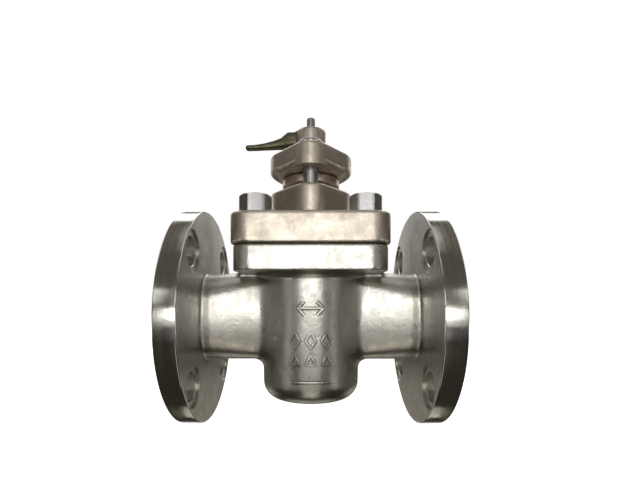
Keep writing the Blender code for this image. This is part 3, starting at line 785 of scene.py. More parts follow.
def lozenge_loop(z, side, nose, count=22):
    """One level of the two-eared lozenge."""
    lean = math.degrees(math.asin((side - nose) / EAR_Y))
    spans = (
        (side, 0.0, -lean, lean),
        (nose, EAR_Y, lean, 180.0 - lean),
        (side, 0.0, 180.0 - lean, 180.0 + lean),
        (nose, -EAR_Y, 180.0 + lean, 360.0 - lean),
    )
    points = []
    for radius, y, start, end in spans:
        for dx, dy in arc(radius, start, end, count):
            points.append((dx, y + dy, z))
    return points


def make_gland_flange(material):
    """Lozenge flange, bevelled under its sides and rounded on top."""
    low, high = height_range("gland_flange")
    loops = [lozenge_loop(low, LOZENGE_SIDE - GLAND_BEVEL_INSET - 0.4, LOZENGE_NOSE - 0.3)]
    steps = 10
    for i in range(steps + 1):
        inset = GLAND_BEVEL_INSET * (1.0 - i / steps) ** GLAND_BEVEL_POWER
        z = low + 0.3 + GLAND_BEVEL * i / steps
        loops.append(lozenge_loop(z, LOZENGE_SIDE - inset, LOZENGE_NOSE))
    for across, up in arc(GLAND_EDGE, 0, 90, 6):
        inset = GLAND_EDGE - across
        loops.append(lozenge_loop(high - GLAND_EDGE + up, LOZENGE_SIDE - inset, LOZENGE_NOSE - inset))
    gland = lofted("gland_plate", loops)
    holes = [("stem_hole", STEM_BORE_RADIUS, low - OVERSHOOT, (0.0, 0.0))]
    for side in (-1, 1):
        holes.append((f"gland_hole_{side}", GLAND_HOLE_RADIUS, low - OVERSHOOT, (0.0, side * EAR_Y)))
    for word in ("open", "closed"):
        node = f"stop_pin_{word}"
        floor = height_range(node)[0] - GAP
        holes.append((f"{node}_hole", pin_radius(node) + GAP, floor, centre_of(node)))
    tools = []
    for name, radius, hole_low, place in holes:
        mouth = (radius + 0.4 + OVERSHOOT, high + OVERSHOOT)
        profile = [(radius, hole_low), (radius, high - 0.4), mouth]
        tools.append(turned(name, profile, SMALL_TURN, centre=place))
    cut(gland, *tools)
    finish_piece(gland, "gland", "cast_bonnet", material, "gland_flange")


def make_gland_bush(material):
    """Bush with its wide collar, turned with broken edges."""
    low, high = height_range("gland_bush")
    outer = node_box("gland_bush")[1].x
    edge = 0.5
    profile = [
        (STEM_BORE_RADIUS, low + edge), (STEM_BORE_RADIUS + edge, low),
        (BUSH_RADIUS - edge, low), (BUSH_RADIUS, low + edge),
        (BUSH_RADIUS, COLLAR_LOW_Z - 0.6), (BUSH_RADIUS + 0.6, COLLAR_LOW_Z),
        (outer - edge, COLLAR_LOW_Z), (outer, COLLAR_LOW_Z + edge),
        (outer, high - edge), (outer - edge, high),
        (STEM_BORE_RADIUS + edge, high), (STEM_BORE_RADIUS, high - edge),
    ]
    bush = turned("gland_follower", profile, ring=True)
    finish_piece(bush, "gland", "machined_steel", material, "gland_bush")


# ---- Fasteners ----

def thread_loops(radius, pitch, low, high, steps=PIN_TURN, centre=(0.0, 0.0), start=0.0):
    """Loops of a helical thread whose crests touch radius; it fades out at both ends."""
    depth = THREAD_DEPTH_SHARE * pitch
    rows = int((high - low) / pitch * 8)
    loops = []
    for row in range(rows + 1):
        z = low + (high - low) * row / rows
        fade = max(0.0, min(1.0, (z - low) / pitch, (high - z) / pitch))
        loop = []
        for i in range(steps):
            turn = i / steps
            wave = (z / pitch - turn) % 1.0
            flank = min(1.0, max(0.0, abs(2 * wave - 1.0) * 1.25 - 0.1))
            reach = radius - depth * (1.0 - flank) * fade - 0.25 * depth * (1.0 - fade)
            angle = math.tau * turn + math.radians(start)
            loop.append((centre[0] + reach * math.cos(angle), centre[1] + reach * math.sin(angle), z))
        loops.append(loop)
    return loops


def hexagon_radius(flats, angle):
    """Distance to a hexagon's edge, its corners a little rounded."""
    sharp = flats / 2 / math.cos(angle % (math.pi / 3) - math.pi / 6)
    limit = flats / math.sqrt(3) * HEXAGON_CORNER_SHARE
    parts = [math.exp(-reach / HEXAGON_CORNER_EASE) for reach in (sharp, limit)]
    return -HEXAGON_CORNER_EASE * math.log(sum(parts))


def washer_face(flats):
    """Radius of the round face on a hexagon head or nut."""
    return flats / 2 * HEXAGON_FACE_SHARE


def hexagon_loops(flats, low, high, centre, turn, steps, bottom_chamfer=False):
    """Side of a hexagon head between a washer face and a cone-cut crown."""
    face = washer_face(flats)
    slope = math.tan(math.radians(30))
    low_loop = []
    high_loop = []
    for i in range(steps):
        angle = math.tau * i / steps
        radius = hexagon_radius(flats, angle)
        x = centre[0] + radius * math.cos(angle + math.radians(turn))
        y = centre[1] + radius * math.sin(angle + math.radians(turn))
        fall = max(radius - face, 0.0) * slope
        low_loop.append((x, y, low + (fall if bottom_chamfer else 0.0)))
        high_loop.append((x, y, high - fall))
    return low_loop, high_loop, circle(face, high, steps, centre=centre, turn=turn)


def shank_loops(node, radius, tip, pitch, thread_top, seat, turn=0.0):
    """Chamfered tip, thread and plain neck of a screw, up to the face that its head sits on."""
    low = height_range(node)[0]
    place = centre_of(node)
    loops = [circle(radius - tip, low, FASTENER_TURN, centre=place, turn=turn)]
    loops += thread_loops(radius, pitch, low + 0.9, thread_top, FASTENER_TURN, place, turn)
    for z in (thread_top + 0.4, seat - 0.01):
        loops.append(circle(radius, z, FASTENER_TURN, centre=place, turn=turn))
    return loops


def hex_bolt(name, node, seat, sizes, turn, thread_top, material, body):
    """Hexagon bolt: threaded shank, washer face, chamfered head with a shallow dished top."""
    radius, flats, pitch = sizes
    high = height_range(node)[1]
    place = centre_of(node)
    face = washer_face(flats)
    loops = shank_loops(node, radius, 1.2, pitch, thread_top, seat, turn)
    for z in (seat, seat + 0.38):
        loops.append(circle(face, z, FASTENER_TURN, centre=place, turn=turn))
    loops += hexagon_loops(flats, seat + 0.4, high, place, turn, FASTENER_TURN)
    loops.append(circle(face * 0.86, high - 0.02, FASTENER_TURN, centre=place, turn=turn))
    finish_piece(lofted(name, loops), body, "bolt_steel", material, node)


def dome_screw(name, node, seat, material, body):
    """Screw with a threaded shank and a low domed head with a hexagon socket."""
    radius, head_radius, pitch = GLAND_BOLT
    high = height_range(node)[1]
    place = centre_of(node)
    flat = head_radius * GLAND_BOLT_FLAT_SHARE
    rim = seat + GLAND_BOLT_RIM
    head = [(head_radius - 0.2, seat), (head_radius, seat + 0.2)]
    for across, up in arc(1.0, 0, 90, 10):
        head.append((flat + (head_radius - flat) * across, rim + (high - rim) * up))
    head.append((SOCKET_FLATS / math.sqrt(3) + 0.3, high))
    loops = shank_loops(node, radius, 1.1, pitch, GLAND_BOLT_THREAD_TOP_Z, seat)
    loops += [circle(reach, z, FASTENER_TURN, centre=place) for reach, z in head]
    for drop in (0.35, SOCKET_DEPTH):
        socket = []
        for i in range(FASTENER_TURN):
            angle = math.tau * i / FASTENER_TURN
            reach = hexagon_radius(SOCKET_FLATS, angle)
            x = place[0] + reach * math.cos(angle)
            y = place[1] + reach * math.sin(angle)
            socket.append((x, y, high - drop))
        loops.append(socket)
    loops.append(circle(0.5, high - SOCKET_DEPTH - 0.9, FASTENER_TURN, centre=place))
    finish_piece(lofted(name, loops), body, "bolt_steel", material, node)


def make_bonnet_bolts(material):
    """Four hexagon bolts, each turned to rest as a spanner left it."""
    for number, turn in enumerate(BONNET_BOLT_TURNS, start=1):
        node = f"bonnet_bolt_{number}"
        seat = BONNET_PLATE_TOP_Z + GAP
        hex_bolt(f"bonnet_screw_{number}", node, seat, BONNET_BOLT, turn, seat - 8.0, material, "valve")


def make_gland_fasteners(bolt_material, washer_material):
    for word in ("front", "back"):
        node = f"gland_washer_{word}"
        low, high = height_range(node)
        profile = chamfered_ring(GLAND_HOLE_RADIUS, pin_radius(node), low, high, 0.25)
        ring = turned(f"washer_{word}", profile, FASTENER_TURN, centre=centre_of(node), ring=True)
        finish_piece(ring, "gland", "machined_steel", washer_material, node)
        dome_screw(f"gland_screw_{word}", f"gland_bolt_{word}", high + GAP, bolt_material, "gland")


def make_stop_pins(material):
    for word in ("open", "closed"):
        node = f"stop_pin_{word}"
        low, high = height_range(node)
        radius = pin_radius(node)
        profile = [(radius - 0.4, low), (radius, low + 0.4)]
        for across, up in arc(PIN_EDGE, 0, 90, 5):
            profile.append((radius - PIN_EDGE + across, high - PIN_EDGE + up))
        pin = turned(f"pin_{word}", profile, PIN_TURN, centre=centre_of(node))
        finish_piece(pin, "gland", "bolt_steel", material, node)


# ---- Plug, sleeve and the rings round the stem ----

def make_plug(material):
    """Tapered plug, polished, with its port, stem and double-D drive end."""
    low, high = PLUG_Z
    base_radius = PLUG_RADIUS + PLUG_TAPER * low
    top_radius = PLUG_RADIUS + PLUG_TAPER * high
    profile = (
        (base_radius - PLUG_EDGE, low), (base_radius, low + PLUG_EDGE),
        (top_radius, high - PLUG_EDGE), (top_radius - PLUG_EDGE, high),
        (STEM_RADIUS + 0.8, high), (STEM_RADIUS, high + 0.2),
        (STEM_RADIUS, STEM_SHOULDER_Z - 0.5), (STEM_RADIUS - 0.5, STEM_SHOULDER_Z),
        (DRIVE_RADIUS, STEM_SHOULDER_Z),
        (DRIVE_RADIUS, DRIVE_TOP_Z - 0.5), (DRIVE_RADIUS - 0.5, DRIVE_TOP_Z),
    )
    plug = turned("tapered_plug", profile)
    half, port_high, corner = PORT
    outline = rounded_rectangle(half, -port_high, port_high, corner, 14)
    reach = PLUG_RADIUS + 5.0
    tools = [lofted("port", [[(x, y, z) for y, z in outline] for x in (-reach, reach)])]
    for side in (-1, 1):
        near = side * DRIVE_HALF_FLAT
        across = DRIVE_RADIUS + OVERSHOOT
        far = side * across
        loops = []
        for z in (STEM_SHOULDER_Z, DRIVE_TOP_Z + OVERSHOOT):
            loops.append([(-across, near, z), (across, near, z), (across, far, z), (-across, far, z)])
        tools.append(lofted(f"drive_flat_{side}", loops))
    hole_range = (height_range("lever_stud")[0] - 1.0, DRIVE_TOP_Z + OVERSHOOT)
    tools.append(turned("stud_hole", [(STUD_HOLE_RADIUS, z) for z in hole_range], PIN_TURN))
    cut(plug, *tools)
    finish_piece(plug, "rotor", "machined_steel", material, "plug")


def make_sleeve(material):
    """Sleeve between plug and body, with a window at each end of the port."""
    low, high = SLEEVE_Z
    inner = [PLUG_RADIUS + PLUG_TAPER * z + GAP for z in SLEEVE_Z]
    profile = (
        (inner[0] + 0.3, low), (inner[0] + SLEEVE_WALL - 0.3, low),
        (inner[0] + SLEEVE_WALL, low + 0.3), (inner[1] + SLEEVE_WALL, high - 0.3),
        (inner[1] + SLEEVE_WALL - 0.3, high), (inner[1] + 0.3, high),
    )
    sleeve = turned("seat_sleeve", profile, ring=True)
    cut(sleeve, lofted("window", passage_loops(WINDOW_MARGIN, FLANGE_BACK_X + 20.0)))
    finish_piece(sleeve, "valve", "ptfe", material, "plug_sleeve")


def ring_piece(name, node, inner, edge, slot, material):
    """A turned ring in a CAD ring's place, its edges broken."""
    low, high = node_box(node)
    ring = turned(name, chamfered_ring(inner, high.x, low.z, high.z, edge), ring=True)
    return finish_piece(ring, "valve", slot, material, node)


def make_inner_rings(steel, plastic, graphite):
    """Collar, diaphragm, gasket and packing; each packing ring gets a mesh of its own."""
    ring_piece("collar_ring", "thrust_collar", STEM_BORE_RADIUS + 0.2, 0.5, "machined_steel", steel)
    ring_piece("diaphragm_disc", "top_diaphragm", STEM_BORE_RADIUS + 0.1, 0.2, "ptfe", plastic)
    ring_piece("gasket_ring", "bonnet_gasket", SPIGOT_RADIUS + GAP, 0.15, "graphite", graphite)
    ring_piece("packing_base", "packing_base_ring", STEM_BORE_RADIUS, 0.4, "machined_steel", steel)
    for number in (1, 2, 3):
        node = f"packing_ring_{number}"
        ring = ring_piece(f"packing_{number}", node, STEM_BORE_RADIUS, 0.5, "graphite", graphite)
        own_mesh(ring)


# ---- Lever ----

# Sections of the arm: distance from the stem, half width, underside and top
ARM_X = (6.0, 10.6, 11.6, 16.8, 18.8, 22.0, 28.0, 34.0, 40.6, 44.5, 47.9)
ARM_HALF_WIDTH = (4.2, 4.6, 4.6, 4.6, 4.3, 3.8, 3.3, 3.0, 3.0, 2.9, 2.6)
ARM_LOW_Z = (123.4, 123.2, 123.1, 122.8, 122.7, 122.6, 122.5, 122.4, 122.2, 122.1, 122.1)
ARM_HIGH_Z = (135.7, 135.7, 134.9, 134.7, 133.3, 130.6, 128.4, 126.7, 125.5, 125.3, 125.2)


def lever_field(x, y, z):
    """Hub, arm along -X with its round end, and the stop tab."""
    low = node_box("lever")[0]
    reach = -x
    half = np.interp(reach, ARM_X, ARM_HALF_WIDTH)
    arm_low = np.interp(reach, ARM_X, ARM_LOW_Z)
    arm_high = np.interp(reach, ARM_X, ARM_HIGH_Z)
    tall = (arm_high - arm_low) / 2
    corner = np.minimum(half, tall) * ARM_CORNER_SHARE
    arm = rectangle_field(y, z - arm_low - tall, half, tall, corner)
    arm = round_meet(arm, np.maximum(reach + low.x, 4.0 - reach), ARM_TIP_ROUND)
    around = np.hypot(x, y) - HUB_RADIUS
    hub = round_meet(around, slab_field(z, low.z, HUB_TOP_Z), HUB_EDGE)
    tab_outline = rectangle_field(reach - TAB_REACH / 2, y, TAB_REACH / 2, TAB_HALF_WIDTH, 0.8)
    tab = round_meet(tab_outline, slab_field(z, low.z + 0.1, TAB_HIGH_Z), 0.5)
    return round_join(round_join(hub, arm, ARM_FILLET), tab, 0.6)


def make_lever(material, hub_material):
    """Dark arm and bright hub in one casting, with its recess, drive hole and stud hole."""
    low, high = node_box("lever")
    grid_low = (low.x, -HUB_RADIUS, low.z)
    grid_high = (HUB_RADIUS, HUB_RADIUS, high.z)
    lever = field_object("lever_arm", lever_field, grid_low, grid_high, LEVER_CELL, 1.5)
    radius = DRIVE_RADIUS + GAP
    flat = DRIVE_HALF_FLAT + GAP
    lean = math.degrees(math.asin(flat / radius))
    outline = arc(radius, -lean, lean, 16) + arc(radius, 180.0 - lean, 180.0 + lean, 16)
    drive = [[(x, y, z) for x, y in outline] for z in (low.z - OVERSHOOT, DRIVE_TOP_Z + GAP)]
    recess = (
        (HUB_RECESS_RADIUS, HUB_WEB_TOP_Z),
        (HUB_RECESS_RADIUS, HUB_TOP_Z - 0.5),
        (HUB_RECESS_RADIUS + 0.5 + OVERSHOOT, HUB_TOP_Z + OVERSHOOT),
    )
    hole = [(STUD_HOLE_RADIUS, z) for z in (DRIVE_TOP_Z - OVERSHOOT, HUB_TOP_Z + OVERSHOOT)]
    cut(lever, lofted("drive", drive), turned("recess", recess, FASTENER_TURN),
        turned("stud_clearance", hole, PIN_TURN))
    finish_piece(lever, "rotor", "lever_casting", material, "lever")
    centres, _ = face_places(lever)
    on_hub = np.hypot(centres[:, 0], centres[:, 1]) < HUB_RADIUS + HUB_PAINT_MARGIN
    paint_faces(lever, hub_material, on_hub)


def make_lever_fasteners(bolt_material, washer_material):
    """Threaded stud with a plain top, washer and nut in the hub's recess."""
    low, high = height_range("lever_stud")
    radius = pin_radius("lever_stud")
    loops = [circle(radius - STUD_EDGE, low, PIN_TURN)]
    loops += thread_loops(radius, STUD_PITCH, low + STUD_EDGE, STUD_THREAD_TOP_Z)
    loops.append(circle(radius, STUD_THREAD_TOP_Z + 0.3, PIN_TURN))
    for across, up in arc(STUD_EDGE, 0, 90, 4):
        loops.append(circle(radius - STUD_EDGE + across, high - STUD_EDGE + up, PIN_TURN))
    finish_piece(lofted("threaded_stud", loops), "rotor", "bolt_steel", bolt_material, "lever_stud")
    low, high = height_range("lever_washer")
    profile = chamfered_ring(STUD_HOLE_RADIUS, pin_radius("lever_washer"), low, high, 0.2)
    ring = turned("lever_ring", profile, FASTENER_TURN, ring=True)
    finish_piece(ring, "rotor", "machined_steel", washer_material, "lever_washer")
    low, high = height_range("lever_nut")
    bore = ((STUD_HOLE_RADIUS, low + 0.5), (STUD_HOLE_RADIUS + 0.5, low))
    bore_top = ((STUD_HOLE_RADIUS + 0.5, high), (STUD_HOLE_RADIUS, high - 0.5))
    loops = [circle(reach, z, PIN_TURN) for reach, z in (*bore, (washer_face(LEVER_NUT_FLATS), low))]
    loops += hexagon_loops(LEVER_NUT_FLATS, low, high, (0.0, 0.0), 0.0, PIN_TURN, True)
    loops += [circle(reach, z, PIN_TURN) for reach, z in bore_top]
    nut = lofted("stud_nut", loops, ring=True)
    finish_piece(nut, "rotor", "bolt_steel", bolt_material, "lever_nut")


# ---- Materials ----

class Recipe:
    """A Principled material and short ways to add nodes to it. Scales are in metres of the object."""

    def __init__(self, name, metallic, specular=0.5):
        self.material = bpy.data.materials.new(name)
        self.material.use_nodes = True
        self.tree = self.material.node_tree
        self.shader = self.tree.nodes["Principled BSDF"]
        self.shader.inputs["Metallic"].default_value = metallic
        self.shader.inputs["Specular IOR Level"].default_value = specular
        self.place = self.add("ShaderNodeTexCoord").outputs["Object"]
        self.height = None

    def add(self, kind, **settings):
        node = self.tree.nodes.new(kind)
        for key, value in settings.items():
            setattr(node, key, value)
        return node

    def link(self, value, socket):
        if isinstance(value, (int, float)):
            socket.default_value = value
        elif isinstance(value, tuple):
            socket.default_value = (*value, 1.0)
        else:
            self.tree.links.new(value, socket)

    def noise(self, size, detail=4.0, roughness=0.55, stretch=None):
        """Soft noise whose features are about size millimetres across."""
        place = self.place
        if stretch:
            mapping = self.add("ShaderNodeMapping")
            mapping.inputs["Scale"].default_value = stretch
            self.link(place, mapping.inputs["Vector"])
            place = mapping.outputs["Vector"]
        node = self.add("ShaderNodeTexNoise")
        node.inputs["Scale"].default_value = 1.0 / (size * MM)
        node.inputs["Detail"].default_value = detail
        node.inputs["Roughness"].default_value = roughness
        self.link(place, node.inputs["Vector"])
        return node.outputs["Fac"]

    def pits(self, size):
        """Distance to scattered points, for shot marks and casting pits."""
        node = self.add("ShaderNodeTexVoronoi")
        node.inputs["Scale"].default_value = 1.0 / (size * MM)
        self.link(self.place, node.inputs["Vector"])
        return node.outputs["Distance"]

    def span(self, value, low, high, to_low, to_high):
        """Map a value's range to another, clamped."""
        node = self.add("ShaderNodeMapRange")
        ends = {"From Min": low, "From Max": high, "To Min": to_low, "To Max": to_high}
        for socket, number in ends.items():
            node.inputs[socket].default_value = number
        self.link(value, node.inputs["Value"])
        return node.outputs["Result"]

    def math(self, operation, a, b=0.0):
        node = self.add("ShaderNodeMath", operation=operation)
        self.link(a, node.inputs[0])
        self.link(b, node.inputs[1])
        return node.outputs[0]

    def mix(self, share, a, b):
        """Mix of two colours."""
        node = self.add("ShaderNodeMix", data_type="RGBA")
        self.link(share, node.inputs["Factor"])
        colour_a, colour_b = (socket for socket in node.inputs if socket.type == "RGBA")
        self.link(a, colour_a)
        self.link(b, colour_b)
        return next(socket for socket in node.outputs if socket.type == "RGBA")

    def dirty(self, base, share, colour):
        """The colour darkened in the inner corners: painted shade, as ambient occlusion gives, and dirt.
        """
        pointiness = self.add("ShaderNodeNewGeometry").outputs["Pointiness"]
        # painted shade: concave corners are darkened as occlusion would darken them
        crevices = self.span(pointiness, 0.40, 0.49, 1.0, 0.0)
        return self.mix(self.math("MULTIPLY", crevices, share), base, colour)

    def rubbed(self, base, share, colour):
        """The colour with bright metal on the outer edges."""
        pointiness = self.add("ShaderNodeNewGeometry").outputs["Pointiness"]
        worn_edges = self.span(pointiness, 0.53, 0.62, 0.0, 1.0)
        return self.mix(self.math("MULTIPLY", worn_edges, share), base, colour)

    def paint(self, colour, roughness):
        self.link(colour, self.shader.inputs["Base Color"])
        self.link(roughness, self.shader.inputs["Roughness"])

    def bump(self, height, depth):
        """Add relief of that depth in millimetres."""
        node = self.add("ShaderNodeBump")
        node.inputs["Strength"].default_value = 1.0
        node.inputs["Distance"].default_value = depth * MM
        self.link(height, node.inputs["Height"])
        if self.height is not None:
            self.link(self.height, node.inputs["Normal"])
        self.height = node.outputs["Normal"]
        self.link(self.height, self.shader.inputs["Normal"])

    def radial(self, axis):
        """Distance from an axis of the object: Z is the stem, X the pipe."""
        split = self.add("ShaderNodeSeparateXYZ")
        self.link(self.place, split.inputs["Vector"])
        if axis == "Z":
            u, v = split.outputs["X"], split.outputs["Y"]
        else:
            u = split.outputs["Y"]
            v = self.math("SUBTRACT", split.outputs["Z"], PIPE_Z * MM)
        squares = self.math("ADD", self.math("MULTIPLY", u, u), self.math("MULTIPLY", v, v))
        return self.math("SQRT", squares)


def tinted(colour, share):
    """The colour made darker, or lighter up to white."""
    return tuple(min(1.0, part * share) for part in colour)


def cast_metal(name, colour, dark, roughness):
    """Blasted and pickled stainless casting."""
    r = Recipe(name, 1.0)
    broad = r.noise(24.0, 3.0)
    patch = r.noise(6.0, 5.0)
    grain = r.noise(0.65, 3.0, 0.6)
    shot = r.pits(1.2)
    rare = r.span(r.pits(8.0), 0.03, 0.08, 1.0, 0.0)
    share = r.math("ADD", r.span(broad, 0.38, 0.64, 0.0, 0.5), r.span(patch, 0.32, 0.68, 0.0, 0.35))
    base = r.mix(share, colour, dark)
    base = r.mix(r.math("MULTIPLY", r.span(grain, 0.35, 0.65, 0.0, 1.0), 0.12), base, tinted(dark, 0.7))
    # painted shade and dirt: darker in the inner corners
    base = r.dirty(base, 0.6, tinted(dark, 0.4))
    base = r.rubbed(base, 0.4, tinted(colour, 1.3))
    rough = r.math("ADD", r.span(patch, 0.3, 0.7, roughness - 0.06, roughness + 0.07),
                   r.span(grain, 0.3, 0.7, -0.03, 0.04))
    r.paint(base, rough)
    r.bump(broad, 0.20)
    r.bump(patch, 0.09)
    r.bump(rare, -0.06)
    r.bump(shot, 0.045)
    r.bump(grain, 0.03)
    return r.material


def turned_metal(name, colour, roughness, axis, pitch=0.35, depth=0.004):
    """Turned steel: fine tooling rings about an axis, faint stains."""
    r = Recipe(name, 1.0)
    radial = r.radial(axis)
    rings = r.math("SINE", r.math("MULTIPLY", radial, math.tau / (pitch * MM)))
    stain = r.noise(9.0, 5.0)
    smudge = r.noise(2.2, 4.0)
    base = r.mix(r.span(stain, 0.35, 0.7, 0.0, 0.5), colour, tinted(colour, 0.74))
    # painted shade and dirt: darker in the inner corners
    base = r.dirty(base, 0.5, tinted(colour, 0.4))
    base = r.rubbed(base, 0.4, tinted(colour, 1.25))
    r.paint(base, r.span(smudge, 0.3, 0.7, roughness - 0.05, roughness + 0.08))
    r.bump(rings, depth)
    r.bump(smudge, 0.012)
    return r.material


def forged_metal(name, colour, roughness):
    """Plain bolt steel: smudged and a little stained, with no tool marks."""
    r = Recipe(name, 1.0)
    stain = r.noise(7.0, 4.0)
    smudge = r.noise(1.8, 3.0)
    base = r.mix(r.span(stain, 0.35, 0.7, 0.0, 0.5), colour, tinted(colour, 0.78))
    # painted shade and dirt: darker in the inner corners
    base = r.dirty(base, 0.5, tinted(colour, 0.4))
    base = r.rubbed(base, 0.3, tinted(colour, 1.2))
    r.paint(base, r.span(smudge, 0.3, 0.7, roughness - 0.04, roughness + 0.06))
    r.bump(stain, 0.02)
    r.bump(smudge, 0.005)
    return r.material


def lathed_rim(name, colour, roughness):
    """A rim turned bright: hair lines that run round it, each band a little different."""
    r = Recipe(name, 1.0)
    lines = r.noise(0.5, 3.0, 0.6, (1.0, 0.012, 0.012))
    bands = r.noise(3.2, 2.0, 0.5, (1.0, 0.02, 0.02))
    stain = r.noise(13.0, 5.0)
    base = r.mix(r.span(stain, 0.4, 0.7, 0.0, 0.4), colour, tinted(colour, 0.76))
    base = r.mix(r.span(lines, 0.42, 0.7, 0.0, 0.35), base, tinted(colour, 0.62))
    base = r.rubbed(base, 0.5, tinted(colour, 1.25))
    rough = r.math("ADD", r.span(bands, 0.35, 0.65, roughness - 0.03, roughness + 0.04),
                   r.span(stain, 0.4, 0.7, 0.0, 0.05))
    r.paint(base, rough)
    r.bump(lines, 0.004)
    r.bump(stain, 0.05)
    return r.material


def plastic(name, colour, roughness):
    """White or dark seal material with faint mottling."""
    r = Recipe(name, 0.0, 0.4)
    mottle = r.noise(3.5, 5.0)
    grain = r.noise(0.5, 2.0)
    base = r.mix(mottle, colour, tinted(colour, 0.78))
    r.paint(base, r.span(grain, 0.3, 0.7, roughness - 0.06, roughness + 0.06))
    r.bump(mottle, 0.05)
    r.bump(grain, 0.02)
    return r.material


# ---- Camera, light and floor ----

def make_camera():
    """The photo's view, from in front and a little above the pipe."""
    data = bpy.data.cameras.new("camera")
    data.sensor_width = SENSOR_WIDTH
    data.lens = LENS
    data.shift_x, data.shift_y = LENS_SHIFT
    camera = add_object("camera", data)
    camera.location = (Vector(CAMERA_PLACE) + Vector((0.0, 0.0, PIPE_Z))) * MM
    camera.rotation_euler = (math.radians(90), 0.0, CAMERA_TURN)
    bpy.context.scene.camera = camera


def softbox(name, azimuth, elevation, width, height, radiance, colour=(1.0, 1.0, 1.0)):
    """A soft light in that direction from the valve, of that width and height in degrees."""
    around = math.radians(azimuth)
    up = math.radians(elevation)
    level = math.cos(up)
    direction = Vector((math.sin(around) * level, -math.cos(around) * level, math.sin(up)))
    data = bpy.data.lights.new(name, "AREA")
    data.shape = "RECTANGLE"
    data.size = 2 * LIGHT_DISTANCE * math.tan(math.radians(width / 2))
    data.size_y = 2 * LIGHT_DISTANCE * math.tan(math.radians(height / 2))
    data.energy = radiance * math.pi * data.size * data.size_y
    data.color = colour
    lamp = add_object(name, data)
    lamp.location = Vector((0.0, 0.0, (PIPE_Z + CAMERA_PLACE[2]) * MM)) + direction * LIGHT_DISTANCE
    lamp.rotation_euler = (-direction).to_track_quat("-Z", "Y").to_euler()


def make_stage():
    """A pale floor that glows a little, so that it stays pale to its far edge."""
    mesh = bpy.data.meshes.new("floor")
    corners = [(x * FLOOR_HALF, y * FLOOR_HALF, 0) for x, y in ((-1, -1), (1, -1), (1, 1), (-1, 1))]
    mesh.from_pydata(corners, [], [(0, 1, 2, 3)])
    floor = add_object("floor", mesh)
    floor.location.z = -FLOOR_DROP
    r = Recipe("floor_paint", 0.0, 0.2)
    r.paint(r.mix(r.noise(300.0), (0.80, 0.80, 0.79), (0.76, 0.76, 0.75)), 0.9)
    r.shader.inputs["Emission Color"].default_value = (1.0, 1.0, 1.0, 1.0)
    r.link(r.span(r.radial("Z"), 0.2, 1.2, 0.92, 1.0), r.shader.inputs["Emission Strength"])
    mesh.materials.append(r.material)
    floor.visible_glossy = False
    floor.visible_diffuse = False


def make_world():
    """White to the eye; dim and warm to the metal, darkest below."""
    world = bpy.data.worlds.new("studio")
    bpy.context.scene.world = world
    world.use_nodes = True
    tree = world.node_tree
    seen = tree.nodes["Background"]
    seen.inputs["Color"].default_value = (1.0, 1.0, 1.0, 1.0)
    seen.inputs["Strength"].default_value = 1.0
    lit = tree.nodes.new("ShaderNodeBackground")
    lit.inputs["Color"].default_value = (1.0, 0.88, 0.70, 1.0)
    split = tree.nodes.new("ShaderNodeSeparateXYZ")
    tree.links.new(tree.nodes.new("ShaderNodeTexCoord").outputs["Generated"], split.inputs["Vector"])
    level = tree.nodes.new("ShaderNodeMapRange")
    for socket, number in (("From Min", -0.3), ("From Max", 0.15), ("To Min", 0.035), ("To Max", 0.11)):
        level.inputs[socket].default_value = number
    tree.links.new(split.outputs["Z"], level.inputs["Value"])
    tree.links.new(level.outputs["Result"], lit.inputs["Strength"])
    path = tree.nodes.new("ShaderNodeLightPath")
    mix = tree.nodes.new("ShaderNodeMixShader")
    tree.links.new(path.outputs["Is Camera Ray"], mix.inputs["Fac"])
    tree.links.new(lit.outputs[0], mix.inputs[1])
    tree.links.new(seen.outputs[0], mix.inputs[2])
    tree.links.new(mix.outputs[0], tree.nodes["World Output"].inputs["Surface"])


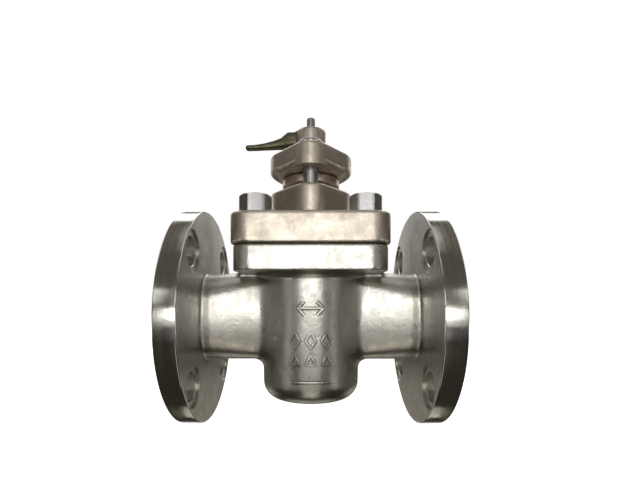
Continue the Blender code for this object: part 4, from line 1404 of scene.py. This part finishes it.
def make_lights():
    """Azimuth, elevation, width and height in degrees, then radiance, of each softbox."""
    warm = (1.0, 0.94, 0.82)
    softbox("key", 0.0, 4.0, 44.0, 9.5, 6.2, (1.0, 0.985, 0.96))
    softbox("upper_key", 0.0, 19.0, 20.0, 13.0, 2.4)
    softbox("front_high", 0.0, 48.0, 18.0, 20.0, 0.6)
    softbox("front_floor", 0.0, -45.0, 23.0, 48.0, 0.8, warm)
    softbox("top", 0.0, 88.0, 40.0, 40.0, 0.6)
    softbox("back", 180.0, 14.0, 40.0, 20.0, 0.32)
    softbox("back_high", 180.0, 48.0, 70.0, 24.0, 2.0)
    softbox("back_floor", 180.0, -25.0, 50.0, 24.0, 0.3, warm)
    softbox("under_back", 180.0, -68.0, 40.0, 24.0, 0.6, warm)
    for side in (-1, 1):
        softbox(f"shoulder_{side}", side * 36.0, 19.0, 20.0, 13.0, 1.2)
        softbox(f"low_key_{side}", side * 17.0, -3.6, 12.0, 7.0, 0.9)
        softbox(f"rim_fill_{side}", side * 17.0, -15.0, 8.0, 10.0, 0.42)
        softbox(f"rim_low_{side}", side * 17.0, -36.0, 8.0, 20.0, 0.2, warm)
        softbox(f"wing_{side}", side * 60.0, -6.0, 26.0, 16.0, 1.4)
        softbox(f"flank_{side}", side * 97.0, -9.0, 26.0, 16.0, 1.0, warm)
        softbox(f"side_high_{side}", side * 95.0, 45.0, 40.0, 24.0, 1.0)
        softbox(f"rear_side_{side}", side * 144.0, 12.0, 20.0, 26.0, 1.5)
        softbox(f"side_floor_{side}", side * 130.0, -30.0, 30.0, 24.0, 0.5, warm)


# ---- Build ----

def build():
    make_camera()
    make_world()
    make_lights()
    make_stage()
    bpy.context.scene.view_settings.view_transform = "Standard"
    cast = cast_metal("cast_stainless", (0.565, 0.555, 0.515), (0.46, 0.45, 0.405), 0.32)
    rim = lathed_rim("rim_stainless", (0.66, 0.65, 0.61), 0.13)
    flange_face = turned_metal("face_stainless", (0.52, 0.50, 0.43), 0.30, "X", 0.8, 0.008)
    drilled = forged_metal("drilled_stainless", (0.62, 0.59, 0.53), 0.34)
    bonnet_cast = cast_metal("bonnet_stainless", (0.62, 0.565, 0.49), (0.45, 0.40, 0.33), 0.36)
    bush_steel = turned_metal("bush_stainless", (0.50, 0.42, 0.34), 0.34, "Z")
    turned_steel = turned_metal("turned_stainless", (0.66, 0.64, 0.59), 0.2, "Z")
    bolt_steel = forged_metal("bolt_stainless", (0.38, 0.38, 0.38), 0.30)
    lever_metal = cast_metal("lever_steel", (0.16, 0.15, 0.10), (0.09, 0.085, 0.055), 0.42)
    ptfe = plastic("sleeve_white", (0.82, 0.82, 0.80), 0.5)
    graphite = plastic("packing_dark", (0.05, 0.05, 0.055), 0.55)
    make_body(cast, rim, flange_face, drilled)
    make_bonnet(bonnet_cast)
    make_bonnet_bolts(bolt_steel)
    make_gland_flange(bonnet_cast)
    make_gland_bush(bush_steel)
    make_gland_fasteners(bolt_steel, turned_steel)
    make_stop_pins(bolt_steel)
    make_plug(turned_steel)
    make_sleeve(ptfe)
    make_inner_rings(turned_steel, ptfe, graphite)
    make_lever(lever_metal, bonnet_cast)
    make_lever_fasteners(bolt_steel, turned_steel)


build()
